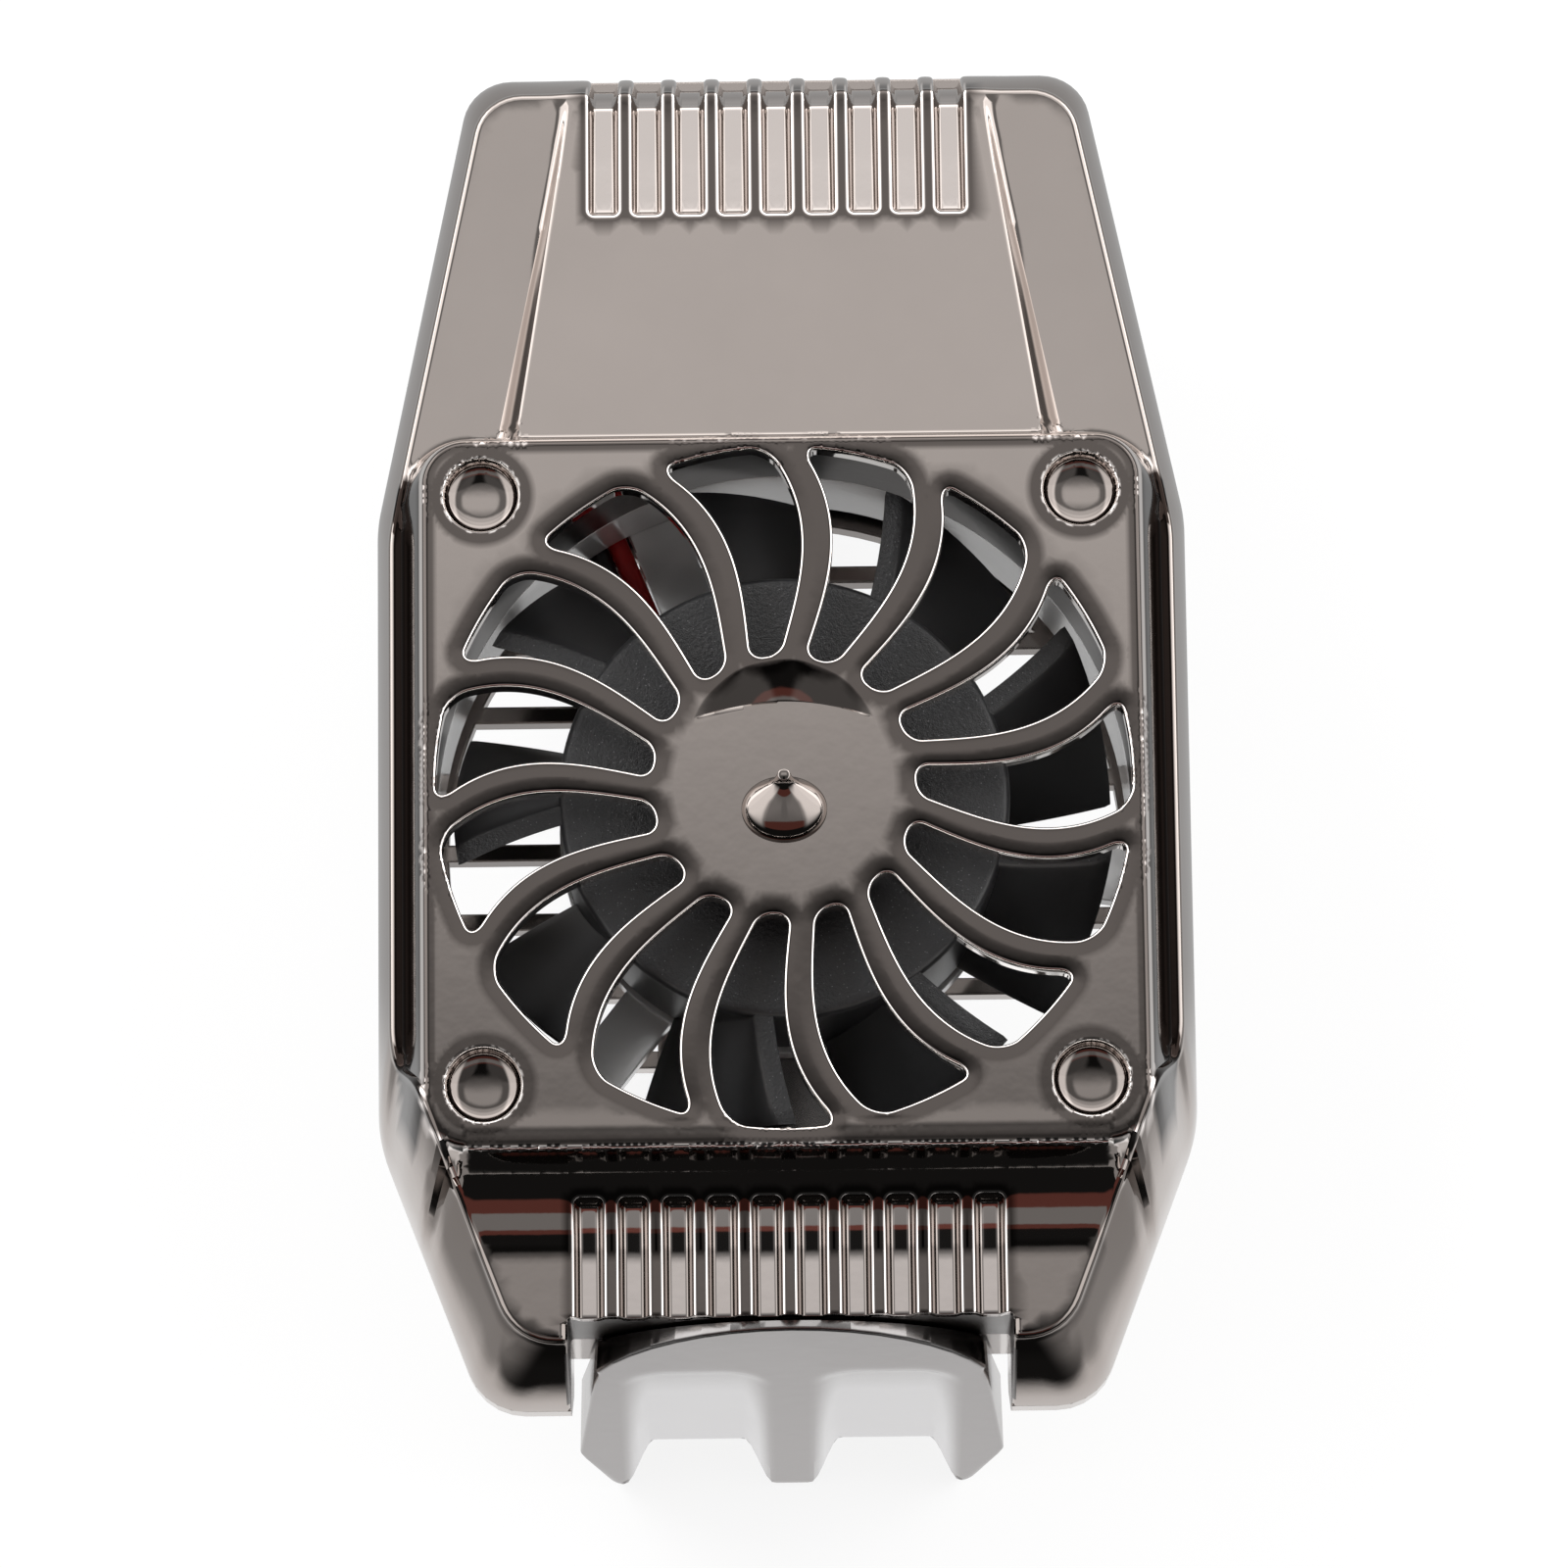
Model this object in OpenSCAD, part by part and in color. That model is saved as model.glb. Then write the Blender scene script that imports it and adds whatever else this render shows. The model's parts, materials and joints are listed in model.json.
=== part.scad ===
// Clip-on cooling fan for a phone.
// The fan's axis is upright, the phone lies under the rear face, and the claws hold it at both long edges.
// The origin is in the middle of the footprint, level with the tips of the claws.

/* [Fan] */
// Inner radius of the duct that the blades turn in
duct_r = 18.6; // [17:0.1:22]
// Wall of the duct
duct_wall = 1.1; // [0.8:0.1:1.4]
// Gap between the blade tips and the duct
tip_gap = 0.9; // [0.4:0.1:2]
// Number of blades
blades = 9; // [5:1:11]
// Height of a blade along the axis
blade_h = 7.8; // [5:0.1:8]
// Thickness of a blade, seen from the front
blade_t = 1.15; // [0.8:0.05:1.6]
// Angle from a blade's back edge to its front edge at the hub
blade_span = 22; // [15:1:30]
// Angle by which the front edge runs ahead from hub to tip
front_sweep = 6; // [0:1:12]
// Angle by which the back edge runs ahead from hub to tip
back_sweep = 3; // [0:1:8]
// Radius of the rotor's hub
hub_r = 12.05; // [11.5:0.05:14]
// Height of the rotor's hub
hub_h = 8.1; // [7.9:0.1:10]
// Radius of the shaft
shaft_r = 0.75; // [0.6:0.05:0.9]
// Running clearance of the shaft in its bush
bush_gap = 0.03; // [0.02:0.01:0.06]
// Gap between the stator and the magnet
air_gap = 0.4; // [0.3:0.05:0.6]

/* [Heights] */
// Depth of the claws under the rear face
clamp_h = 12; // [10:0.5:15]
// Depth of the rear cover
rear_depth = 7; // [7:0.1:8.4]
// Floor of the rear cover
floor_t = 1.4; // [1.2:0.1:1.8]
// Height of the rails that the jaw's plate slides on
rail_h = 0.6; // [0.5:0.1:1]
// Thickness of the jaw's plate and tongue
plate_t = 2; // [1.6:0.1:2.4]
// Room above the plate
slide_gap = 0.5; // [0.4:0.1:1]
// Thickness of the fan frame's base and spokes
base_t = 1.4; // [1.2:0.1:2]
// Running gap under the rotor
run_gap = 1; // [0.8:0.1:1.5]
// Gap between the rotor and the grille
grille_gap = 1.6; // [1.6:0.1:3]
// Thickness of the grille
grille_t = 1.4; // [1.2:0.1:2]
// Drop from the raised square to the rim of the front cover
rim_drop = 5; // [4:0.1:6]
// Height of the small spike above the raised square
spike_rise = 2.3; // [1:0.1:3]

/* [Body] */
// Room from the duct to the outside of the body, each side
side_margin = 3.4; // [3.2:0.1:6]
// Length of the body above the duct, over battery and board
bay_len = 22.5; // [20:0.1:30]
// Length of the body below the duct, where the jaw comes out
low_len = 12; // [12:0.1:16]
// Width of the body at the upper end
top_w = 33.6; // [32:0.2:38]
// Width of the body at the lower end
low_w = 32.8; // [32:0.2:38]
// Corner radius at the upper end
top_round = 2.7; // [2:0.1:5]
// Corner radius at the lower end
low_round = 3.2; // [2:0.1:5]
// Corner radius where the sides begin to draw in
waist_round = 8; // [4:0.5:12]
// Wall of both covers
wall = 1.2; // [1:0.1:1.4]
// Play between pieces that slide or drop in
play = 0.2; // [0.15:0.05:0.3]

/* [Grille] */
// Number of curved slots
slots = 15; // [9:1:21]
// Radius where the slots begin
slot_in = 7.05; // [6.5:0.05:9]
// Margin from the slots' outer ends to the duct
slot_margin = 0.15; // [0.1:0.05:1]
// Width of a vane at the hub end
vane_w = 1.4; // [0.9:0.05:1.6]
// How much wider a vane is for each millimetre of radius
vane_grow = 0.047; // [0:0.001:0.08]
// Depth of the corner dimples
dimple_depth = 1; // [0.5:0.1:1.2]
// Radius of the corner dimples
dimple_r = 2.1; // [1.5:0.1:2.5]
// Distance between the bars behind the fan
bar_pitch = 3.87; // [3:0.01:6]
// Width of a bar behind the fan
bar_w = 0.94; // [0.8:0.02:1.6]
// Distance between the grooves at both ends
groove_pitch = 2.35; // [2:0.05:3]
// Width of a groove
groove_w = 1.65; // [1:0.05:1.8]
// Number of grooves at the upper end
top_grooves = 9; // [5:2:9]
// Number of grooves at the lower end
low_grooves = 10; // [6:2:10]

/* [Clip] */
// Width of the jaw
jaw_w = 23.2; // [20:0.2:24]
// Travel of the jaw
jaw_travel = 16; // [10:0.5:16]
// Thickness of the jaw at its foot
jaw_foot = 5.2; // [4:0.1:6]
// Thickness of the jaw at its crown
jaw_crown = 0.5; // [0.5:0.1:1]
// Width of the fixed hook
hook_w = 18; // [14:0.5:19]
// Thickness of the hook at its foot
hook_foot = 2.5; // [2:0.1:4]
// Thickness of the rubber pads on the claws
pad_t = 0.8; // [0.5:0.1:1.2]
// Thickness of the pads on the rear face
rest_pad_t = 1; // [0.6:0.1:1.5]
// Height of the lips that reach under the phone
lip_h = 1.6; // [1.2:0.1:2.4]
// Reach of the lips under the phone
lip_reach = 1.8; // [1.2:0.1:3]
// Outer radius of a return spring
spring_r = 1.2; // [1:0.05:1.25]
// Wire radius of a return spring
spring_wire = 0.17; // [0.12:0.01:0.2]
// Turns of a return spring
spring_turns = 14; // [8:1:18]

/* [Electrics] */
// Width of the battery
cell_w = 24; // [20:0.5:24]
// Length of the battery along the body
cell_l = 11.6; // [8:0.1:11.6]
// Thickness of the battery
cell_t = 6; // [4:0.1:6.5]
// Thickness of the control board
board_t = 0.8; // [0.6:0.1:1]
// Travel of the switch knob
switch_travel = 2; // [1:0.1:2]
// How far the switch knob stands out of the body
knob_out = 0.4; // [0.2:0.1:1]
// Radius of the insulated wires
wire_r = 0.55; // [0.4:0.05:0.55]
// Radius of a case screw's shank
screw_r = 0.95; // [0.8:0.05:1]
// Radius of a case screw's head
head_r = 1.8; // [1.6:0.1:1.9]

/* [Hidden] */
$fn = 48;
eps = 0.05;

// Heights, from the tips of the claws up
floor_z = clamp_h + floor_t;
plate_z = floor_z + rail_h;
frame_z = plate_z + plate_t + slide_gap;
base_z = frame_z + base_t;
rotor_z = base_z + run_gap;
hub_top = rotor_z + hub_h;
under_z = hub_top + grille_gap;
top_z = under_z + grille_t;
seam_z = clamp_h + rear_depth;
rim_z = top_z - rim_drop;
joint_z = seam_z + 4;
room_z = rim_z - 1.4;
low_deck_z = top_z - 3.7;

// Plan of the body, measured from the fan's axis
duct_out = duct_r + duct_wall;
half_w = duct_r + side_margin;
top_y = duct_out + bay_len;
low_y = duct_out + low_len;
post_r = 2.6;
post_gap = 0.3;
post_xy = (duct_out + post_r + post_gap) / sqrt(2);
straight = post_xy + 1;
body_plan = mirrored([[low_w / 2, -low_y], [half_w, -straight], [half_w, straight], [top_w / 2, top_y]]);
body_rounds = both([low_round, waist_round, waist_round, top_round]);
pad_half = duct_r + 0.6;
draft = 0.24;
pad_round = 2.4;

// Insets of the rim against the seam: lower slant, side, upper slant, upper end, and the lower end
rim_insets = [2.2, 0.9, 1.3, 2.5, 1.3, 0.9, 2.2, 2.1];

// Extra wall behind the grooves, for the same edges
groove_wall = [0, 0, 0, 0.9, 0, 0, 0, 0.6];

// Bay behind the duct
bay_post = [top_w / 2 - 4.3, top_y - 6.7];
cell_y = duct_out + 1.3;
board_y = cell_y + cell_l + 0.6;
board_z = floor_z + 0.8;
board_x = bay_post.x - post_r - 0.1;
board_end = top_y - 2.8;
board_top = board_z + board_t;
hook_screw = [5, board_y + 2.4];

// Clip
notch_half = jaw_w / 2 + 0.15;
notch_y = low_y - 3.9;
jaw_y = notch_y + play;
crown_z = top_z - 4.2;
jaw_out = jaw_y + jaw_foot;
hook_set_in = 1.5;
hook_y = top_y - hook_set_in;
hook_out = hook_y + hook_foot;
hook_plate_t = 1.2;
recess_t = 1.2;
axis_y = -(hook_out - jaw_out) / 2;
plate_half = jaw_w / 2 - 1.4;
plate_len = 8.2;
tongue_half = 3.4;
tongue_y = 8;
head_len = 2;
head_half = 6.2;
spring_x = 4.9;
spring_z = floor_z + spring_r + 0.3;
spring_room = 24;
stop_y = tongue_y - head_len - spring_room;
retainer_t = 1;
retainer_z = plate_z + plate_t + 0.1;
retainer_y = [-notch_y + wall + 0.1, -notch_y + wall + 5.1];
retainer_screw = [plate_half + 3.2, (retainer_y[0] + retainer_y[1]) / 2];

// Motor, from the hub's wall inwards
fit = 0.05;
hub_wall = 1.15;
yoke_t = 0.75;
magnet_t = 1.15;
yoke_out = hub_r - hub_wall - fit;
yoke_in = yoke_out - yoke_t;
magnet_out = yoke_in - fit;
magnet_in = magnet_out - magnet_t;
stator_r = magnet_in - air_gap;
bush_r = shaft_r + 1.23;
tube_in = bush_r + 0.02;
tube_out = tube_in + 0.8;
tube_top = rotor_z + 5.3;
core_z = rotor_z + 1.3;
core_h = 3.2;
motor_board_z = base_z + 0.3;
motor_board_t = 0.8;
base_r = hub_r + 0.15;

// Charging socket and switch, side by side on the board
socket_x = 5.2;
socket_w = 8.94;
socket_h = 3.26;
socket_end = top_y - 0.9;
socket_back = socket_end - 7.4;
switch_x = -6;
switch_w = 7.2;
switch_h = 3.4;
knob_z = board_top + 1.9;
knob_w = 1.6;
knob_h = 1.1;

function unit(v) = v / norm(v);
function both(a) = concat(a, [for (i = [len(a) - 1:-1:0]) a[i]]);
function mirrored(p) = concat(p, [for (i = [len(p) - 1:-1:0]) [-p[i].x, p[i].y]]);

// Corner at p of a path from a to b, as an arc of radius r in n steps
function corner(a, p, b, r, n) =
    let (u = unit(a - p), v = unit(b - p), half = acos(u * v) / 2)
    let (t = r / tan(half), c = p + unit(u + v) * r / sin(half))
    let (s = p + u * t, e = p + v * t)
    let (a0 = atan2(s.y - c.y, s.x - c.x), a1 = atan2(e.y - c.y, e.x - c.x))
    let (turn = (a1 - a0 + 540) % 360 - 180)
    [for (i = [0:n]) c + r * [cos(a0 + turn * i / n), sin(a0 + turn * i / n)]];
function rounded(p, r, n = 5) =
    [for (i = [0:len(p) - 1]) each corner(p[(i + len(p) - 1) % len(p)], p[i], p[(i + 1) % len(p)], r[i], n)];

// Polygon moved inwards by its own amount at each edge
function inset(p, d) = [for (i = [0:len(p) - 1])
    let (h = (i + len(p) - 1) % len(p), j = (i + 1) % len(p))
    let (u = unit(p[i] - p[h]), v = unit(p[j] - p[i]))
    let (a = p[h] + d[h] * [-u.y, u.x], b = p[i] + d[i] * [-v.y, v.x])
    let (s = ((b - a).x * v.y - (b - a).y * v.x) / (u.x * v.y - u.y * v.x))
    a + s * u];
function even(d) = [for (i = [0:7]) d];
function plan(d) = rounded(inset(body_plan, d), body_rounds);
function square_plan(h, r) = rounded([[h, -h], [h, h], [-h, h], [-h, -h]], [r, r, r, r]);

// Cap of a ring of n points, as triangles between points that face each other across it
function cap_faces(n) = [for (i = [0:floor((n - 3) / 2)])
    each (i + 1 < n - 2 - i ? [[i, i + 1, n - 2 - i], [i, n - 2 - i, n - 1 - i]] : [[i, i + 1, n - 1 - i]])];

// Faces of a skin over m rings of n points, closed at both ends
function skin_faces(n, m) = concat(
    cap_faces(n),
    [for (k = [0:m - 2], i = [0:n - 1]) [(k + 1) * n + i, (k + 1) * n + (i + 1) % n, k * n + (i + 1) % n]],
    [for (k = [0:m - 2], i = [0:n - 1]) [(k + 1) * n + i, k * n + (i + 1) % n, k * n + i]],
    [for (f = cap_faces(n)) [(m - 1) * n + f[2], (m - 1) * n + f[1], (m - 1) * n + f[0]]]);

// Solid through level outlines, each given as [height, points]
module skin(levels) {
    polyhedron([for (l = levels, p = l[1]) [p.x, p.y, l[0]]], skin_faces(len(levels[0][1]), len(levels)));
}

// Round tube through points, where side is a direction that the path never takes
module tube(points, r, side, sides = 8) {
    last = len(points) - 1;
    rings = [for (i = [0:last])
        let (t = unit(points[min(i + 1, last)] - points[max(i - 1, 0)]))
        let (u = unit(cross(t, side)), v = cross(t, u))
        for (k = [0:sides - 1]) points[i] + r * (cos(360 * k / sides) * u + sin(360 * k / sides) * v)];
    polyhedron(rings, skin_faces(sides, last + 1));
}

module on_axis() {
    translate([0, axis_y, 0]) children();
}

module block(x, y, z) {
    translate([x[0], y[0], z[0]]) cube([x[1] - x[0], y[1] - y[0], z[1] - z[0]]);
}

module rod(r, z, at = [0, 0]) {
    translate([at.x, at.y, z[0]]) cylinder(r = r, h = z[1] - z[0]);
}

// Profile in Y and Z, pulled along X from x[0] to x[1]
module across(x, profile) {
    translate([x[0], 0, 0]) rotate([90, 0, 90]) linear_extrude(x[1] - x[0]) polygon(profile);
}

// Profile in X and Z, pulled along Y from y[0] to y[1]
module along(y, profile) {
    translate([0, y[1], 0]) rotate([90, 0, 0]) linear_extrude(y[1] - y[0]) polygon(profile);
}

module at_posts() {
    for (x = [-1, 1], y = [-1, 1]) translate([x * post_xy, y * post_xy, 0]) children();
}

module at_pair(p) {
    for (x = [-1, 1]) translate([x * p.x, p.y, 0]) children();
}

module at_bay_posts() {
    at_pair(bay_post) children();
}

// One slot of the grille: its middle bows, and its half width follows the vane beside it
function slot_turn(r) = 21.35 + 0.185 * pow(r - 11.8, 2);
function slot_half(r) = r * PI / slots - (vane_w + vane_grow * (r - slot_in)) / 2;
slot_out = duct_r - slot_margin;
slot_in_round = 0.7;
slot_out_round = 0.9;
slot_edge = concat(
    [for (a = [0:30:90]) [slot_in + slot_in_round * (1 - cos(a)), slot_in_round * (1 - sin(a))]],
    [for (k = [1:4]) [slot_in + (slot_out - slot_in) * (0.08 + k / 5.8), 0]],
    [for (a = [0:30:90]) [slot_out - slot_out_round * (1 - sin(a)), slot_out_round * (1 - cos(a))]]);
function slot_point(e, side) =
    let (turn = slot_turn(e[0]) + side * (slot_half(e[0]) - e[1]) / e[0] * 180 / PI)
    e[0] * [cos(turn), sin(turn)];
slot_plan = concat(
    [for (e = slot_edge) slot_point(e, -1)],
    [for (i = [len(slot_edge) - 1:-1:0]) slot_point(slot_edge[i], 1)]);

// Raised panel on the upper deck, from the raised square down to the rim
panel_y = [duct_r, top_y - rim_insets[3]];
panel_half = [14.3, 11.2];
panel_foot = [16, 11.3];
panel_top = [top_z - 1.5, rim_z + 0.1];
module upper_panel() {
    bottom = room_z;
    base_h = 0.3;
    polyhedron(
        [for (i = [0, 1], x = [-1, 1]) each [
            [x * panel_foot[i], panel_y[i], bottom],
            [x * panel_foot[i], panel_y[i], i == 0 ? rim_z + base_h : rim_z],
            [x * panel_half[i], panel_y[i], panel_top[i]]]],
        [[0, 1, 2, 5, 4, 3], [6, 9, 10, 11, 8, 7],
         [0, 3, 9, 6],
         [0, 6, 7, 1], [3, 4, 10, 9],
         [1, 7, 2], [2, 7, 8], [4, 5, 10], [10, 5, 11],
         [2, 8, 11, 5]]);
}

// Lower deck: a hollow slope from the raised square to a flat panel, within the crest's outline
hollow_r = 5.4;
hollow_y = -duct_r - 6;
hollow_z = low_deck_z + hollow_r;
crest = mirrored([[low_w / 2 - 0.5, -low_y + 2.3], [half_w - 3.5, -straight]]);
crest_rounds = [3, 0.4, 0.4, 3];
function hollow(r, from) = [for (y = [from:-0.85:hollow_y])
    [y, hollow_z - sqrt(r * r - pow(y - hollow_y, 2))]];
module lower_deck() {
    y0 = hollow_y + sqrt(hollow_r * hollow_r - pow(hollow_z - top_z, 2));
    intersection() {
        across([-half_w, half_w], concat(
            [[-straight, room_z], [-straight, top_z]],
            hollow(hollow_r, y0),
            [[hollow_y, low_deck_z], [-low_y, low_deck_z - 0.3], [-low_y, room_z]]));
        translate([0, 0, room_z]) linear_extrude(top_z) polygon(rounded(crest, crest_rounds));
    }
}

module cover_form() {
    skin([[seam_z, plan(even(0))], [rim_z, plan(rim_insets)]]);
    skin([
        [room_z, square_plan(pad_half + draft * (top_z - room_z), pad_round + 2)],
        [top_z - 0.35, square_plan(pad_half, pad_round)],
        [top_z, square_plan(pad_half - 0.3, pad_round)]]);
    upper_panel();
    lower_deck();
    seam = mirrored([[low_w / 2, -low_y], [half_w, -straight]]);
    skin([
        [seam_z, rounded(seam, crest_rounds)],
        [low_deck_z - 0.3, rounded(crest, crest_rounds)]]);
}

// Inner room of the front cover, without the collar of the duct and the walls round the notch
module cover_room() {
    lean = (room_z - seam_z) / (rim_z - seam_z);
    difference() {
        union() {
            skin([
                [seam_z - 1, plan([for (i = [0:7]) wall + groove_wall[i]])],
                [room_z, plan([for (i = [0:7]) wall + groove_wall[i] + lean * rim_insets[i]])]]);
            skin([
                [room_z - 1, square_plan(pad_half - wall, 1.5)],
                [under_z, square_plan(pad_half - wall, 1.5)]]);
            across([-10.8, 10.8], [
                [duct_out + 1, room_z - 1], [duct_out + 11, room_z - 1],
                [duct_out + 11, rim_z - 0.1], [duct_out + 1, top_z - 3.7]]);
        }
        rod(duct_out, [joint_z + 0.1, top_z]);
        block([-notch_half - wall, notch_half + wall], [-low_y, -notch_y + wall], [seam_z - 2, top_z]);
    }
}

// Groove cutters at the upper end: along the sloping panel and down the end wall
module upper_grooves() {
    depth = 0.8;
    start = top_y - 9.7;
    fall = (panel_top[0] - panel_top[1]) / (panel_y[1] - panel_y[0]);
    level = panel_top[1] + fall * (panel_y[1] - start);
    for (i = [0:top_grooves - 1])
        translate([(i - (top_grooves - 1) / 2) * groove_pitch, 0, 0])
            across([-groove_w / 2, groove_w / 2], [
                [start, level + 1], [start, level - 0.1], [start + depth, level - depth - 0.15],
                [panel_y[1] - 0.6, rim_z - depth + 0.2], [top_y - 0.7, seam_z], [top_y - 0.7, seam_z - 1],
                [top_y + 1, seam_z - 1], [top_y + 1, level + 1]]);
}

// Groove cutters at the lower end: from the hollow slope to the notch
module lower_grooves() {
    depth = 0.7;
    start = -duct_out - 1.9;
    for (i = [0:low_grooves - 1])
        translate([(i - (low_grooves - 1) / 2) * groove_pitch, 0, 0])
            across([-groove_w / 2, groove_w / 2], concat(
                [[start, top_z]],
                hollow(hollow_r + depth, start),
                [[hollow_y, low_deck_z - depth], [-notch_y - 0.1, low_deck_z - depth],
                    [-notch_y - 0.1, top_z]]));
}

// Shallow pocket on the hub, between two arcs that meet at both ends
pocket_depth = 0.5;
module hub_pocket() {
    difference() {
        translate([0, 1.7, top_z - pocket_depth]) cylinder(r1 = 2.6, r2 = 5.1 + 0.5, h = pocket_depth + 0.1);
        rod(12.2, [top_z - 2, top_z + 1], [0, -7.7]);
    }
}

// Spike on the hub: a drop that leans back to its tip, as ovals of [height, middle, half width, half depth]
spike_ovals = [[-0.3, -1.36, 2.2, 1.72], [0.2, -1.37, 2.28, 1.78], [0.5, -1.38, 2.18, 1.7],
    [0.8, -1.3, 1.95, 1.52], [1.05, -1.13, 1.62, 1.27], [1.3, -0.88, 1.22, 0.98], [1.5, -0.62, 0.88, 0.75],
    [1.7, -0.38, 0.62, 0.56], [1.9, -0.18, 0.46, 0.44], [2.1, -0.05, 0.38, 0.38], [2.3, 0, 0.3, 0.3]];
module hub_spike() {
    skin([for (o = spike_ovals) [top_z + o[0] * spike_rise / 2.3,
        [for (a = [0:20:340]) [o[2] * cos(a), o[1] + o[3] * sin(a)]]]]);
}

module corner_dimple() {
    translate([0, 0, top_z]) rotate_extrude() polygon([
        [0, -dimple_depth], [dimple_r * 0.7, -dimple_depth + 0.12], [dimple_r * 0.93, -dimple_depth + 0.45],
        [dimple_r, -0.1], [dimple_r, 0.1], [0, 0.1]]);
}

// Screw boss of the front cover with its pilot hole, open at the bottom
boss_r = 2.2;
pilot_r = screw_r + 0.05;
pilot_len = 7;
module front_boss(from, to) {
    difference() {
        rod(boss_r, [from, to]);
        rod(pilot_r, [from - 1, from + pilot_len]);
    }
}

module front_cover() color([0.55, 0.52, 0.5]) on_axis() {
    difference() {
        cover_form();
        cover_room();
        rod(duct_r, [seam_z - 1, under_z]);
        for (i = [0:slots - 1]) rotate(360 * i / slots)
            translate([0, 0, under_z - 1]) linear_extrude(grille_t + 2) polygon(slot_plan);
        hub_pocket();
        at_posts() corner_dimple();
        upper_grooves();
        lower_grooves();
        block([-notch_half, notch_half], [-low_y - 1, -notch_y], [seam_z - 1, top_z + 1]);
    }
    hub_spike();
    at_posts() front_boss(frame_z + 1.5, under_z + eps);
    at_bay_posts() front_boss(frame_z, room_z + eps);
}

// Rear cover: shell, bars behind the fan, rails and stops for the jaw's plate, screw bosses
face_inset = 2.4;
module rear_form() {
    lean_z = seam_z - 1.7;
    difference() {
        skin([
            [clamp_h, plan(even(face_inset))],
            [clamp_h + 0.5, plan(even(face_inset - 0.65))],
            [lean_z, plan(even(0))],
            [seam_z, plan(even(0))]]);
        difference() {
            skin([
                [floor_z, plan(even(face_inset + 0.4))],
                [lean_z, plan(even(wall))],
                [seam_z + 1, plan(even(wall))]]);
            block([-notch_half - wall, notch_half + wall], [-low_y, -notch_y + wall],
                [floor_z - 1, seam_z + 2]);
        }
    }
}

lip_in = wall + 0.65;
lip_t = 0.7;
lip_rise = 0.9;
lip_root = 0.7;
function lip_plan(d) = plan([for (i = [0:7]) d + groove_wall[i]]);
module lip_ring(z, outer, side_play) {
    difference() {
        translate([0, 0, z[0]]) linear_extrude(z[1] - z[0]) difference() {
            polygon(outer);
            polygon(lip_plan(lip_in + lip_t));
        }
        rod(duct_out + 0.3, [seam_z - 2, seam_z + 2]);
        at_bay_posts() rod(boss_r + 0.3, [seam_z - 2, seam_z + 2]);
        block([-notch_half - wall - side_play, notch_half + wall + side_play],
            [-low_y, -notch_y + wall + side_play], [seam_z - 2, seam_z + 2]);
    }
}

module seam_lip() {
    lip_ring([seam_z - lip_root, seam_z + lip_rise], lip_plan(lip_in), play);
    lip_ring([seam_z - 2 * lip_root, seam_z - lip_root + eps], plan(even(wall - 0.2)), -0.2);
}

window_r = duct_r - 0.2;
module fan_window() {
    bars = floor(window_r / bar_pitch);
    translate([0, 0, clamp_h - 1]) linear_extrude(floor_t + 2) difference() {
        circle(r = window_r);
        for (k = [-bars:bars]) translate([-window_r - 1, k * bar_pitch - bar_w / 2])
            square([2 * window_r + 2, bar_w]);
    }
}

head_sink = 2.5;
module rear_boss_cut() {
    rod(head_r + 0.2, [clamp_h - 1, clamp_h + head_sink]);
    rod(screw_r + 0.15, [clamp_h, frame_z + 1]);
}

module rear_cover() color([0.5, 0.47, 0.45]) on_axis() {
    difference() {
        union() {
            rear_form();
            seam_lip();
            at_posts() rod(post_r, [floor_z - eps, frame_z]);
            at_bay_posts() rod(post_r, [floor_z - eps, frame_z]);
            block([-board_x, board_x], [board_y - 0.4, top_y - 1.8], [floor_z - eps, board_z - 0.2]);
            at_pair(hook_screw) rod(hook_boss_r, [floor_z, board_top - 0.1]);
            at_pair(retainer_screw) rod(retainer_boss_r, [floor_z - eps, retainer_z]);
        }
        fan_window();
        at_posts() rear_boss_cut();
        at_bay_posts() rear_boss_cut();
        at_pair(hook_screw) rod(small_r + fit, [clamp_h, board_top - 0.4]);
        at_pair(retainer_screw) rod(small_r + fit, [retainer_z - 2.4, retainer_z + 1]);
        block([-hook_w / 2 - 0.15, hook_w / 2 + 0.15], [board_y + 0.4, top_y + 1],
            [clamp_h - 1, clamp_h + recess_t]);
        block([-notch_half, notch_half], [-low_y - 1, -notch_y], [clamp_h - 1, seam_z + 1]);
        block([-plate_half - 0.3, plate_half + 0.3], [-low_y, -notch_y + wall + 1],
            [floor_z + 0.2, plate_z + plate_t + 0.4]);
        along([board_end - 1, top_y + 1], socket_mouth);
        block([switch_x - switch_w / 2 - play, switch_x + switch_w / 2 + play], [board_end - 1, board_end],
            [board_top, board_top + switch_h + play]);
        knob_reach = (switch_travel + knob_w) / 2 + 0.25;
        block([switch_x - knob_reach, switch_x + knob_reach], [board_end, top_y + 1],
            [knob_z - knob_h / 2 - 0.25, knob_z + knob_h / 2 + 0.25]);
    }
    slide_rails();
}

// Rails under the jaw's plate and tongue, guides beside them, and stops for the springs
module slide_rails() {
    low = floor_z - 0.6;
    rail_top = plate_z - fit;
    guide_top = plate_z + plate_t;
    stop_t = 1.2;
    mouth = -notch_y + wall;
    for (side = [0, 1]) mirror([side, 0, 0]) {
        block([tongue_half - 1.3, tongue_half - 0.3], [mouth, tongue_y], [low, rail_top]);
        block([plate_half - 2.4, plate_half - 0.6], [mouth, stop_y - stop_t - 0.4], [low, rail_top]);
        block([plate_half + 0.3, plate_half + 1.2], [mouth - eps, stop_y - stop_t],
            [floor_z - eps, retainer_z]);
        block([head_half + 0.2, head_half + 0.8], [stop_y - stop_t, tongue_y], [low, guide_top]);
        block([tongue_half + 0.3, head_half + 0.8], [stop_y - stop_t, stop_y], [low, guide_top]);
    }
}

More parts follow.
